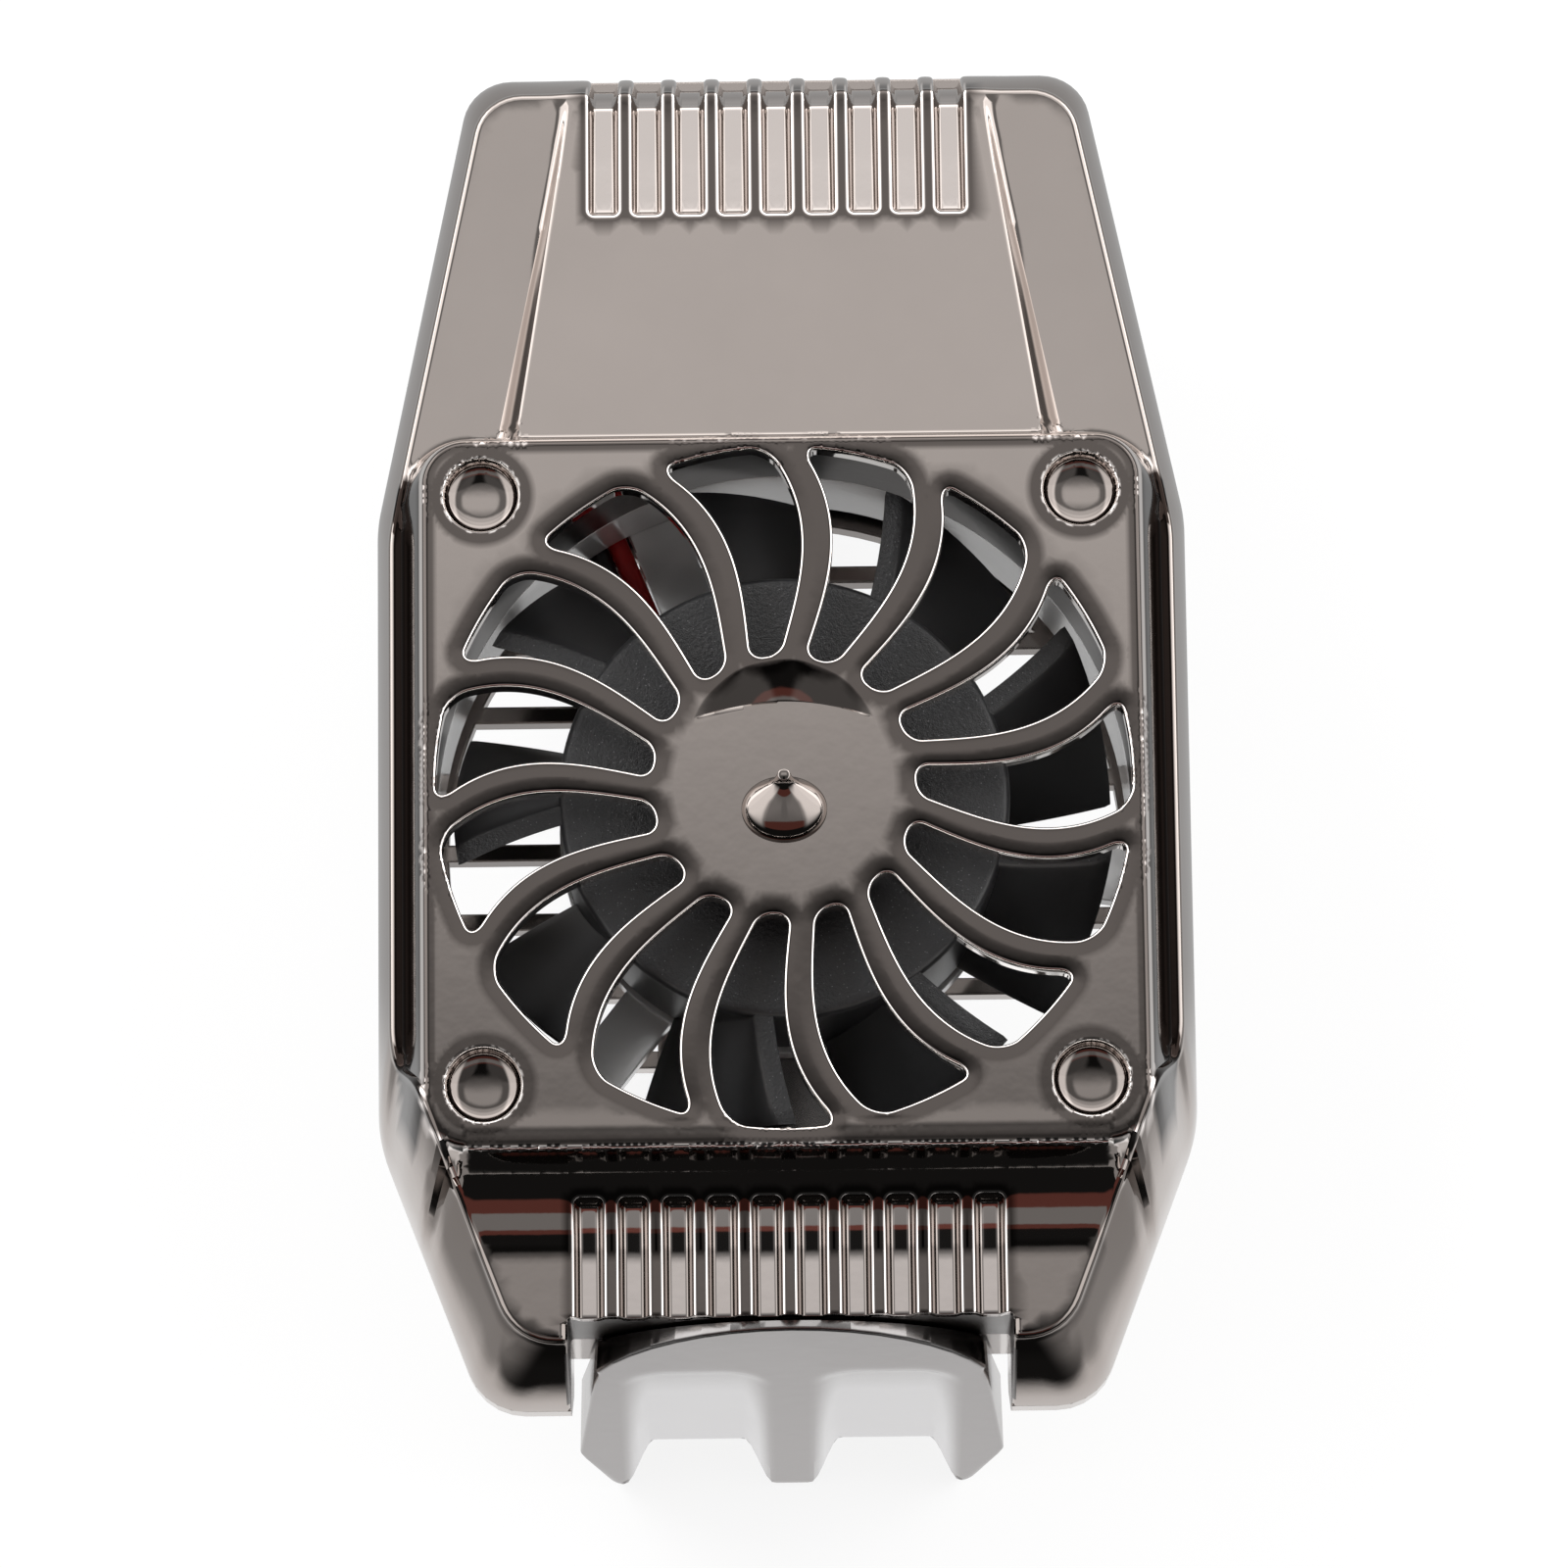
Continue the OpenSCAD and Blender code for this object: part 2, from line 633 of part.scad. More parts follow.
socket_gap = 0.15;
mouth_half = [socket_w / 2 + socket_gap, socket_h / 2 + socket_gap];
socket_mouth = [for (p = rounded([
    [mouth_half.x, -mouth_half.y], mouth_half, [-mouth_half.x, mouth_half.y], -mouth_half],
    [1.3, 1.3, 1.3, 1.3])) p + [socket_x, board_top + socket_h / 2]];

// Fan frame: duct ring, ears, base with three spokes, bearing tube
spoke_w = 3;
wire_turn = 112;
ear_t = base_t + 0.1;
wire_side = [spoke_w / 2 + wire_r + 0.05, spoke_w / 2 + 3 * wire_r + 0.1];
wire_slot = [spoke_w / 2 - 0.1, spoke_w / 2 + 4 * wire_r + 0.25];
module wire_way(r) {
    rotate(wire_turn) block(r, wire_slot, [frame_z - 1, frame_z + ear_t + eps]);
}

module fan_frame() color([0.6, 0.58, 0.57]) on_axis() {
    difference() {
        union() {
            difference() {
                union() {
                    rod(duct_out, [frame_z, joint_z]);
                    at_posts() rod(post_r, [frame_z, frame_z + ear_t]);
                    for (a = [45:90:315]) rotate(a)
                        block([duct_r + 0.2, sqrt(2) * post_xy], [-1, 1], [frame_z, frame_z + ear_t]);
                }
                rod(duct_r, [frame_z - 1, joint_z + 1]);
            }
            rod(base_r, [frame_z, base_z]);
            rod(tube_out, [frame_z, tube_top]);
            for (k = [0:2]) rotate(wire_turn + 120 * k)
                block([base_r - 1, duct_r + 0.8], [-spoke_w / 2, spoke_w / 2], [frame_z + 0.1, base_z - 0.1]);
        }
        at_posts() rod(screw_r + 0.15, [frame_z - 1, frame_z + ear_t + 1]);
        rod(tube_in, [frame_z - 1, tube_top + 1]);
        wire_way([duct_r - 1, duct_out + 4]);
        wire_way([7, base_r + 1]);
    }
}

// Rotor: hub cup with a boss for the shaft, and pitched blades
function blade_turn(u, v) = (2 + back_sweep * u) * (1 - v) + (2 + blade_span + front_sweep * u) * v;
module blade() {
    root = hub_r - 0.4;
    tip = duct_r - tip_gap;
    along_n = 4;
    up_n = 5;
    z0 = rotor_z + 0.1;
    loop = concat([for (j = [0:up_n]) [j / up_n, 1]], [for (j = [up_n:-1:0]) [j / up_n, -1]]);
    points = [for (i = [0:along_n], e = loop)
        let (r = root + (tip - root) * i / along_n)
        let (turn = blade_turn(i / along_n, e[0]) + e[1] * blade_t / 2 / r * 180 / PI)
        [r * cos(turn), r * sin(turn), z0 + e[0] * blade_h]];
    polyhedron(points, skin_faces(len(loop), along_n + 1));
}

module fan_rotor() color([0.1, 0.1, 0.1]) on_axis() {
    cap_t = 1.2;
    difference() {
        union() {
            difference() {
                rod(hub_r, [rotor_z, hub_top]);
                rod(hub_r - hub_wall, [rotor_z - 1, hub_top - cap_t]);
            }
            rod(shaft_r + 1.5, [hub_top - cap_t - 1.2, hub_top - cap_t + eps]);
        }
        rod(shaft_r + 0.01, [rotor_z, hub_top - 0.4]);
    }
    for (k = [0:blades - 1]) rotate(360 * k / blades) blade();
}

module rotor_yoke() color([0.6, 0.6, 0.62]) on_axis() {
    difference() {
        rod(yoke_out, [rotor_z + 0.4, hub_top - 1.3]);
        rod(yoke_in, [rotor_z, hub_top]);
    }
}

module rotor_magnet() color([0.2, 0.2, 0.22]) on_axis() {
    difference() {
        rod(magnet_out, [rotor_z + 0.6, rotor_z + 5.6]);
        rod(magnet_in, [rotor_z, rotor_z + 7]);
    }
}

shaft_end = frame_z + 0.7;
module fan_shaft() color([0.8, 0.8, 0.82]) on_axis() {
    rod(shaft_r, [shaft_end, hub_top - 0.5]);
}

module retaining_ring() color([0.85, 0.85, 0.8]) on_axis() {
    difference() {
        rod(shaft_r + 0.7, [shaft_end + 0.3, shaft_end + 0.6]);
        rod(shaft_r + 0.01, [shaft_end, shaft_end + 1]);
    }
}

module bearing_bush() color([0.75, 0.6, 0.35]) on_axis() {
    difference() {
        rod(bush_r, [shaft_end + 0.8, tube_top - 0.3]);
        rod(shaft_r + bush_gap, [frame_z, tube_top + 1]);
    }
}

module bearing_cap() color([0.2, 0.2, 0.2]) on_axis() {
    rod(tube_in - 0.02, [frame_z, frame_z + 0.5]);
}

// Plan of the stator: a ring with four poles that end in curved shoes
module stator_plan(grow = 0) {
    difference() {
        circle(r = tube_out + 1.5 + grow);
        circle(r = tube_out + 0.05);
    }
    for (a = [0:90:270]) rotate(a) {
        translate([tube_out + 0.8, -1.3 - grow]) square([stator_r - tube_out - 1.6, 2.6 + 2 * grow]);
        difference() {
            intersection() {
                circle(r = stator_r);
                polygon([[0, 0], [stator_r * 1.4, -stator_r], [stator_r * 1.4, stator_r]]);
            }
            circle(r = stator_r - 1.3);
        }
    }
}

module stator_core() color([0.5, 0.5, 0.52]) on_axis() {
    translate([0, 0, core_z]) linear_extrude(core_h) stator_plan();
}

insulator_t = 0.5;
module stator_insulators() color([0.9, 0.9, 0.85]) on_axis() {
    for (z = [core_z - insulator_t, core_z + core_h]) translate([0, 0, z])
        linear_extrude(insulator_t) stator_plan();
}

module coil_windings() color([0.75, 0.4, 0.2]) on_axis() {
    turn_t = 0.5;
    span = [stator_r - 4, stator_r - 2];
    low = core_z - insulator_t - fit;
    high = core_z + core_h + insulator_t + fit;
    for (a = [0:90:270]) rotate(a) difference() {
        block(span, [-2.4, 2.4], [low - turn_t, high + turn_t]);
        block([0, stator_r], [-1.3 - fit, 1.3 + fit], [low, high]);
    }
}

module motor_board() color([0.1, 0.35, 0.2]) on_axis() {
    difference() {
        rod(stator_r + 0.1, [motor_board_z, motor_board_z + motor_board_t]);
        rod(tube_out + 0.1, [motor_board_z - 1, motor_board_z + 2]);
    }
}

module drive_chip() color([0.15, 0.15, 0.15]) on_axis() {
    z = motor_board_z + motor_board_t;
    rotate(45) block([stator_r - 2.6, stator_r - 0.4], [-1, 1], [z, z + 0.6]);
}

// Routes of the fan's two wires: from under the motor board along a spoke, over the battery, to the board
wire_z = frame_z + wire_r + 0.15;
wire_dir = [cos(wire_turn), sin(wire_turn)];
wire_left = [-sin(wire_turn), cos(wire_turn)];
function wire_start(side) =
    let (z = [motor_board_z, motor_board_z - 0.3, wire_z + 0.05, wire_z, wire_z, wire_z])
    let (r = [7.7, 7.7, 8.3, 9.3, 14, duct_out + 0.6])
    [for (i = [0:5]) [r[i] * wire_dir.x + side * wire_left.x, r[i] * wire_dir.y + side * wire_left.y, z[i]]];
over_cell = floor_z + 0.2 + cell_t + wire_r + 0.1;
module red_wire() color([0.75, 0.12, 0.1]) on_axis() {
    tube(concat(wire_start(wire_side[0]), [
        [-9.4, 19.4, wire_z + 0.4], [-9.6, 20.4, wire_z + 2.2], [-9.1, 21.6, over_cell],
        [-7.8, 23.6, over_cell + 0.1], [-5.1, 27, over_cell + 0.1], [-2.6, 30.4, over_cell + 0.1],
        [-1.1, 32.6, over_cell - 0.3], [-0.5, 33.9, over_cell - 1.6], [-0.3, 34.6, board_top + 1.2],
        [-0.3, 34.6, board_top]]), wire_r, [1, 0.4, 0]);
}

module black_wire() color([0.08, 0.08, 0.08]) on_axis() {
    tube(concat(wire_start(wire_side[1]), [
        [-10.6, 19, wire_z + 0.4], [-10.9, 20.2, wire_z + 2.2], [-10.4, 21.8, over_cell],
        [-9.2, 23.9, over_cell + 0.1], [-6.5, 27.3, over_cell + 0.1], [-4, 30.7, over_cell + 0.1],
        [-2.4, 32.8, over_cell - 0.3], [-1.75, 33.9, over_cell - 1.6], [-1.6, 34.6, board_top + 1.2],
        [-1.6, 34.6, board_top]]), wire_r, [1, 0.4, 0]);
}

module control_board() color([0.1, 0.35, 0.2]) on_axis() {
    difference() {
        block([-board_x, board_x], [board_y, board_end], [board_z, board_top]);
        at_pair(hook_screw) rod(hook_boss_r + play, [board_z - 1, board_top + 1]);
    }
}

module charging_socket() color([0.75, 0.75, 0.76]) on_axis() {
    shell_t = 0.3;
    h = [socket_w / 2, socket_h / 2];
    ring = rounded([[h.x, -h.y], [h.x, h.y], [-h.x, h.y], [-h.x, -h.y]], [1.2, 1.2, 1.2, 1.2]);
    hole = rounded([
        [h.x - shell_t, shell_t - h.y], [h.x - shell_t, h.y - shell_t],
        [shell_t - h.x, h.y - shell_t], [shell_t - h.x, shell_t - h.y]], [0.9, 0.9, 0.9, 0.9]);
    translate([socket_x, 0, board_top + h.y]) {
        difference() {
            along([socket_back, socket_end], ring);
            along([socket_back + 1, socket_end + 1], hole);
        }
        block([-3.35, 3.35], [socket_back + 0.9, socket_end - 0.8], [-0.35, 0.35]);
    }
}

pocket_gap = 0.2;
knob_root = [2.4, 1.1, 1.5];
module power_switch() color([0.15, 0.15, 0.16]) on_axis() {
    y = [board_end - 3.1, board_end - 0.1];
    reach = switch_travel / 2 + pocket_gap;
    difference() {
        block([switch_x - switch_w / 2, switch_x + switch_w / 2], y, [board_top, board_top + switch_h]);
        block([switch_x - knob_root.x / 2 - reach, switch_x + knob_root.x / 2 + reach],
            [y[1] - 0.3 - knob_root.y - 2 * pocket_gap, y[1] - 0.3],
            [knob_z - knob_root.z / 2 - pocket_gap, knob_z + knob_root.z / 2 + pocket_gap]);
        block([switch_x - knob_w / 2 - reach, switch_x + knob_w / 2 + reach],
            [y[1] - 1, y[1] + 1], [knob_z - knob_h / 2 - pocket_gap, knob_z + knob_h / 2 + pocket_gap]);
    }
}

module switch_knob() color([0.1, 0.1, 0.1]) on_axis() {
    x = switch_x - switch_travel / 2;
    root_y = board_end - 0.4 - pocket_gap;
    block([x - knob_root.x / 2, x + knob_root.x / 2], [root_y - knob_root.y, root_y],
        [knob_z - knob_root.z / 2, knob_z + knob_root.z / 2]);
    block([x - knob_w / 2, x + knob_w / 2], [root_y - eps, top_y + knob_out],
        [knob_z - knob_h / 2, knob_z + knob_h / 2]);
}

module battery_cell() color([0.7, 0.71, 0.73]) on_axis() {
    y = [cell_y, cell_y + cell_l];
    z = [floor_z + 0.2, floor_z + 0.2 + cell_t];
    across([-cell_w / 2, cell_w / 2], rounded(
        [[y[0], z[0]], [y[1], z[0]], [y[1], z[1]], [y[0], z[1]]], [1.2, 1.2, 1.2, 1.2]));
}

module battery_leads() color([0.7, 0.2, 0.15]) on_axis() {
    y0 = cell_y + cell_l;
    z0 = floor_z + 3.4;
    for (x = [-7.2, -5.6]) translate([x, 0, 0]) tube([
        [0, y0, z0], [0, y0 + 0.45, z0 - 0.03], [0, y0 + 0.85, z0 - 0.4],
        [0, y0 + 1, board_top + 0.45], [0, y0 + 1.02, board_top]], 0.3, [1, 0, 0]);
}

// Sliding jaw: face with two flutes, crown arch, lip, plate, tongue and a T-shaped head for the springs
flute_half = 8.6;
prong_half = 1.35;
flute_top = crown_z - 6.1;
lean = (jaw_foot - jaw_crown) / crown_z;
arch_r = 11.57;
module jaw_face() {
    arch_z = crown_z - arch_r;
    corner_z = crown_z - 6.5;
    half = jaw_w / 2;
    top_half = half - 1;
    intersection() {
        across([-half, half], [[-jaw_y, 0], [-jaw_y, crown_z], [-jaw_y - jaw_crown, crown_z], [-jaw_out, 0]]);
        along([-jaw_out - 1, -jaw_y + 1], concat(
            [[claw_taper - half, 0], [half - claw_taper, 0], [half, claw_taper_h], [top_half, corner_z - 2],
                [top_half - 0.25, corner_z - 0.6]],
            [for (a = [26:8:154]) [arch_r * cos(a), arch_z + arch_r * sin(a)]],
            [[0.25 - top_half, corner_z - 0.6], [-top_half, corner_z - 2], [-half, claw_taper_h]]));
    }
}

module jaw_flute(x) {
    floor_y = jaw_y + jaw_foot - 2.4;
    skim_y = jaw_y + jaw_crown + lean * (crown_z - flute_top);
    intersection() {
        across(x, [[-floor_y, -1], [-skim_y, flute_top], [-jaw_out - 2, flute_top], [-jaw_out - 2, -1]]);
        along([-jaw_out - 3, -jaw_y], rounded(
            [[x[0], -2], [x[1], -2], [x[1], flute_top], [x[0], flute_top]], [0.5, 0.5, 2, 2]));
    }
}

module clip_jaw() color([0.62, 0.6, 0.6]) on_axis() {
    difference() {
        jaw_face();
        jaw_flute([prong_half, flute_half]);
        jaw_flute([-flute_half, -prong_half]);
    }
    block([-9.5, 9.5], [-jaw_y - eps, -jaw_y + lip_reach], [0, lip_h]);
    block([-plate_half, plate_half], [-jaw_y - eps, -jaw_y + plate_len], [plate_z, plate_z + plate_t]);
    block([-tongue_half, tongue_half], [-jaw_y + plate_len - eps, tongue_y], [plate_z, plate_z + plate_t]);
    block([-head_half, head_half], [tongue_y - head_len, tongue_y], [plate_z, plate_z + plate_t]);
}

claw_taper = 1.6;
claw_taper_h = 5.8;
claw_pad_z = [lip_h + 0.4, clamp_h - rest_pad_t - 0.5];
module claw_pad(half, y) {
    along(y, rounded([
        [-half, claw_pad_z[0]], [half, claw_pad_z[0]], [half, claw_pad_z[1]], [-half, claw_pad_z[1]]],
        [1.5, 1.5, 1.5, 1.5]));
}

module jaw_pad() color([0.15, 0.15, 0.15]) on_axis() claw_pad(9, [-jaw_y, -jaw_y + pad_t]);

// Return springs: each is one wire, wound from the fixed stop to the head of the tongue
spring_from = stop_y + spring_wire;
spring_len = spring_room - 2 * spring_wire;
module return_springs() color([0.75, 0.75, 0.77]) on_axis() {
    steps = 8;
    mean_r = spring_r - spring_wire;
    for (x = [-spring_x, spring_x]) translate([x, spring_from, spring_z])
        tube([for (i = [0:spring_turns * steps])
            let (a = 360 * i / steps, y = spring_len * i / steps / spring_turns)
            [mean_r * cos(a), y, mean_r * sin(a)]],
            spring_wire, [0, 1, 0], 6);
}

small_r = 0.7;
small_head_r = 1.4;
small_sink = 0.7;
hook_boss_r = 1.5;
retainer_boss_r = 1.8;
module slide_retainer() color([0.3, 0.3, 0.32]) on_axis() {
    half = retainer_screw.x + 2;
    difference() {
        block([-half, half], retainer_y, [retainer_z, retainer_z + retainer_t]);
        at_pair(retainer_screw) rod(small_r + 0.1, [retainer_z - 1, retainer_z + retainer_t + 1]);
    }
}

module fixed_hook() color([0.5, 0.47, 0.45]) on_axis() {
    half = hook_w / 2;
    plate_y = board_y + 0.6;
    plate_top = clamp_h + hook_plate_t - fit;
    difference() {
        intersection() {
            across([-half, half], [
                [hook_y - lip_reach, 0], [hook_out, 0], [hook_y + 1.2, plate_top], [plate_y, plate_top],
                [plate_y, clamp_h], [hook_y, clamp_h], [hook_y, lip_h], [hook_y - lip_reach, lip_h]]);
            along([0, hook_out + 1], [
                [claw_taper - half, 0], [half - claw_taper, 0], [half, claw_taper_h], [half, clamp_h + 3],
                [-half, clamp_h + 3], [-half, claw_taper_h]]);
        }
        at_pair(hook_screw) rod(small_r + 0.1, [clamp_h - 1, clamp_h + 3]);
        at_pair(hook_screw) rod(small_head_r + 0.1, [clamp_h - 1, clamp_h + small_sink]);
    }
}

module hook_pad() color([0.15, 0.15, 0.15]) on_axis() claw_pad(hook_w / 2 - 1.2, [hook_y - pad_t, hook_y]);

module phone_pads() color([0.15, 0.15, 0.15]) on_axis() {
    half = 9;
    for (y = [[cell_y + 1, cell_y + 10], [-notch_y + 1.8, -notch_y + 7.2]])
        translate([0, 0, clamp_h - rest_pad_t]) linear_extrude(rest_pad_t) polygon(rounded(
            [[half, y[0]], [half, y[1]], [-half, y[1]], [-half, y[0]]], [2, 2, 2, 2]));
}

// Cross-head screw pointing up, with its head at the bottom
module screw_up(head, shank, head_t, length) {
    difference() {
        rod(head, [0, head_t]);
        for (a = [0, 90]) rotate(a) block([-head * 0.55, head * 0.55], [-0.2, 0.2], [-1, head_t * 0.5]);
    }
    rod(shank, [head_t - eps, head_t + length]);
}

module case_screws() color([0.35, 0.35, 0.37]) on_axis() {
    head_t = 1.4;
    z = clamp_h + head_sink - head_t;
    at_posts() translate([0, 0, z]) screw_up(head_r, screw_r, head_t, frame_z + 1.5 + 5.5 - z - head_t);
    at_bay_posts() translate([0, 0, z]) screw_up(head_r, screw_r, head_t, frame_z + 5.5 - z - head_t);
}

module small_screws() color([0.6, 0.6, 0.62]) on_axis() {
    head_t = 0.6;
    at_pair(hook_screw) translate([0, 0, clamp_h + small_sink - head_t])
        screw_up(small_head_r, small_r, head_t, board_top - clamp_h - 1.3);
    at_pair(retainer_screw) translate([0, 0, retainer_z + retainer_t + head_t]) mirror([0, 0, 1])
        screw_up(small_head_r, small_r, head_t, retainer_t + 2.2);
}

front_cover();
rear_cover();
fan_frame();
fan_rotor();
rotor_yoke();
rotor_magnet();
fan_shaft();
retaining_ring();
bearing_bush();
bearing_cap();
stator_core();
stator_insulators();
coil_windings();
motor_board();
drive_chip();
red_wire();
black_wire();
control_board();
charging_socket();
power_switch();
switch_knob();
battery_cell();
battery_leads();
clip_jaw();
jaw_pad();
return_springs();
slide_retainer();
fixed_hook();
hook_pad();
phone_pads();
case_screws();
small_screws();
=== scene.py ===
import bmesh
import bpy
import json
import math
import numpy as np
from mathutils import Matrix, Vector, geometry, kdtree


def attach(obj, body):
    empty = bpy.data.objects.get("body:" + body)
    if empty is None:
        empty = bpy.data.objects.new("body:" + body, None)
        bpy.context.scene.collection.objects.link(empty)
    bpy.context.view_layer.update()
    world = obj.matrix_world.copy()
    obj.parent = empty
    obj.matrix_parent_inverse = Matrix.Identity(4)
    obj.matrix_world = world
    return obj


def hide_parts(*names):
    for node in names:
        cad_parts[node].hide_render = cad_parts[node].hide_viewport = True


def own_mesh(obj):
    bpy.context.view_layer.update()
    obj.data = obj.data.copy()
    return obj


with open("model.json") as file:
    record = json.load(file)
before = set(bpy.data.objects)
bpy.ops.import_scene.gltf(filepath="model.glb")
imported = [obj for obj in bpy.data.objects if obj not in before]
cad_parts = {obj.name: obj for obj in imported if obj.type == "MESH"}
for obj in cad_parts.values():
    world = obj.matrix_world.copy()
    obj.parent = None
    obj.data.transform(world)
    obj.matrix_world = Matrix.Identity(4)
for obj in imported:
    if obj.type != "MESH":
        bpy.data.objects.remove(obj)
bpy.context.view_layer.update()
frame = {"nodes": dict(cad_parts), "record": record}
nodes = frame["nodes"]
scene = bpy.context.scene

# The camera looks down on the middle of the raised face from the jaw's side, from 466 mm away. It stands
# 12.56 degrees off upright and is turned by 0.69, and a millimetre of that face is 19.281 pixels wide.
tilt, roll, away = math.radians(12.56), math.radians(0.69), 0.466
PIXELS_PER_M, PHOTO_WIDE = 19281, 1600
FACE_Y, FACE_Z = -0.005, 0.030
camera = bpy.data.objects.new("camera", bpy.data.cameras.new("camera"))
camera.data.sensor_width = 36
camera.data.lens = PIXELS_PER_M * away / PHOTO_WIDE * camera.data.sensor_width
camera.matrix_world = (Matrix.Translation((0, FACE_Y - away * math.sin(tilt), FACE_Z + away * math.cos(tilt)))
                       @ Matrix.Rotation(tilt, 4, "X") @ Matrix.Rotation(-roll, 4, "Z"))
scene.collection.objects.link(camera)
scene.camera = camera


# The room: a white floor that keeps a faint shadow, a small panel of light above, a wide one behind the
# upper end and bright screens low at the sides. In front it is dark but for one grey board in a brown frame.
def node_of(tree, kind, **values):
    n = tree.nodes.new(kind)
    for key, value in values.items():
        if key in n.inputs:
            n.inputs[key].default_value = value
        else:
            setattr(n, key, value)
    return n


def sum_of(tree, operation, *values):
    n = tree.nodes.new("ShaderNodeMath")
    n.operation = operation
    for i, v in enumerate(values):
        if isinstance(v, (int, float)):
            n.inputs[i].default_value = v
        else:
            tree.links.new(v, n.inputs[i])
    return n.outputs[0]


def soft_step(tree, value, low, high):
    n = tree.nodes.new("ShaderNodeMapRange")
    n.interpolation_type = "SMOOTHSTEP"
    n.inputs["From Min"].default_value = low
    n.inputs["From Max"].default_value = high
    tree.links.new(value, n.inputs["Value"])
    return n.outputs["Result"]


def band(tree, value, a, b, c, d):
    """1 from b to c, and 0 outside a and d."""
    return sum_of(tree, "MULTIPLY", soft_step(tree, value, a, b), soft_step(tree, value, d, c))


floor_mesh = bpy.data.meshes.new("floor")
floor_mesh.from_pydata([(-3, -3, 0), (3, -3, 0), (3, 3, 0), (-3, 3, 0)], [], [(0, 1, 2, 3)])
floor = bpy.data.objects.new("floor", floor_mesh)
scene.collection.objects.link(floor)
paper = bpy.data.materials.new("paper_floor")
paper.use_nodes = True
t = paper.node_tree
t.nodes.clear()
seen = node_of(t, "ShaderNodeLightPath")
white = node_of(t, "ShaderNodeEmission", Color=(1, 1, 1, 1), Strength=1.0)
matt = node_of(t, "ShaderNodeBsdfDiffuse", Color=(0.85, 0.85, 0.85, 1))
blend = node_of(t, "ShaderNodeMixShader")
out = node_of(t, "ShaderNodeOutputMaterial")
place = node_of(t, "ShaderNodeNewGeometry")
spot = node_of(t, "ShaderNodeSeparateXYZ")
t.links.new(place.outputs["Position"], spot.inputs[0])
HALF_WIDE, HALF_LONG = 0.022, 0.037
beside = sum_of(t, "SUBTRACT", sum_of(t, "ABSOLUTE", spot.outputs[0]), HALF_WIDE)
beyond = sum_of(t, "SUBTRACT", spot.outputs[1], HALF_LONG)
before = sum_of(t, "SUBTRACT", sum_of(t, "MULTIPLY", spot.outputs[1], -1.0), HALF_LONG)
gap = sum_of(t, "MAXIMUM", sum_of(t, "MAXIMUM", beside, beyond), before)
fade = soft_step(t, gap, 0.012, 0.026)
ahead = sum_of(t, "MULTIPLY", soft_step(t, before, 0.018, 0.027), soft_step(t, beside, 0.05, 0.0))
rear = soft_step(t, spot.outputs[1], -0.022, -0.008)
mirrored = sum_of(t, "SUBTRACT", 1.0, sum_of(t, "MULTIPLY", sum_of(t, "MAXIMUM", fade, rear), 0.55))
mirrored = sum_of(t, "MULTIPLY", mirrored, sum_of(t, "SUBTRACT", 1.0, sum_of(t, "MULTIPLY", ahead, 0.97)))
glossy = seen.outputs["Is Glossy Ray"]
level = sum_of(t, "ADD", sum_of(t, "MULTIPLY", glossy, mirrored), sum_of(t, "SUBTRACT", 1.0, glossy))
t.links.new(level, white.inputs["Strength"])
direct = sum_of(t, "MULTIPLY", seen.outputs["Is Camera Ray"], 0.86)
t.links.new(sum_of(t, "MAXIMUM", direct, glossy), blend.inputs[0])
t.links.new(matt.outputs[0], blend.inputs[1])
t.links.new(white.outputs[0], blend.inputs[2])
clear = node_of(t, "ShaderNodeBsdfTransparent")
sides = node_of(t, "ShaderNodeMixShader")
t.links.new(place.outputs["Backfacing"], sides.inputs[0])
t.links.new(blend.outputs[0], sides.inputs[1])
t.links.new(clear.outputs[0], sides.inputs[2])
t.links.new(sides.outputs[0], out.inputs[0])
floor_mesh.materials.append(paper)

world = bpy.data.worlds.new("studio")
scene.world = world
world.use_nodes = True
t = world.node_tree
t.nodes.clear()
way = node_of(t, "ShaderNodeTexCoord")
axis = node_of(t, "ShaderNodeSeparateXYZ")
t.links.new(way.outputs["Generated"], axis.inputs[0])
x, y, z = axis.outputs
lean_y = sum_of(t, "MULTIPLY", sum_of(t, "ARCTAN2", y, z), 57.2958)
lean_x = sum_of(t, "MULTIPLY", sum_of(t, "ARCSINE", sum_of(t, "ABSOLUTE", x)), 57.2958)
board, beside_board = band(t, lean_y, -41, -39.5, -22, -20.5), soft_step(t, lean_x, 31, 28)
# each light: its strength, and the bands of leaning reflections, in degrees, in which it is seen
lights = [
    (0.28, [band(t, lean_y, 2, 8, 88, 96)]),
    (0.64, [band(t, lean_y, 7, 14.5, 18.5, 27), soft_step(t, lean_x, 17, 9)]),
    (0.72, [band(t, lean_y, 27, 32, 55, 75), soft_step(t, lean_x, 48, 28)]),
    (0.5, [band(t, lean_y, 37, 44, 62, 80), soft_step(t, lean_x, 48, 28)]),
    (1.5, [band(t, lean_y, 50, 64, 84, 93)]),
    (1.9, [band(t, lean_x, 26, 38, 76, 87), soft_step(t, lean_y, -70, -20)]),
    (0.3, [board, beside_board]),
    (0.13, [band(t, lean_y, -40, -30, 2, 6), soft_step(t, lean_x, 3, 7)]),
]
level = 0.015
for strength, masks in lights:
    for m in masks:
        strength = sum_of(t, "MULTIPLY", m, strength)
    level = sum_of(t, "ADD", strength, level)
frame_band = sum_of(t, "SUBTRACT", band(t, lean_y, -57, -54, -17, -15.5), board)
frame_band = sum_of(t, "MULTIPLY", frame_band, beside_board)
seen = node_of(t, "ShaderNodeLightPath")
sky = node_of(t, "ShaderNodeBackground", Color=(1, 1, 1, 1))
t.links.new(level, sky.inputs["Strength"])
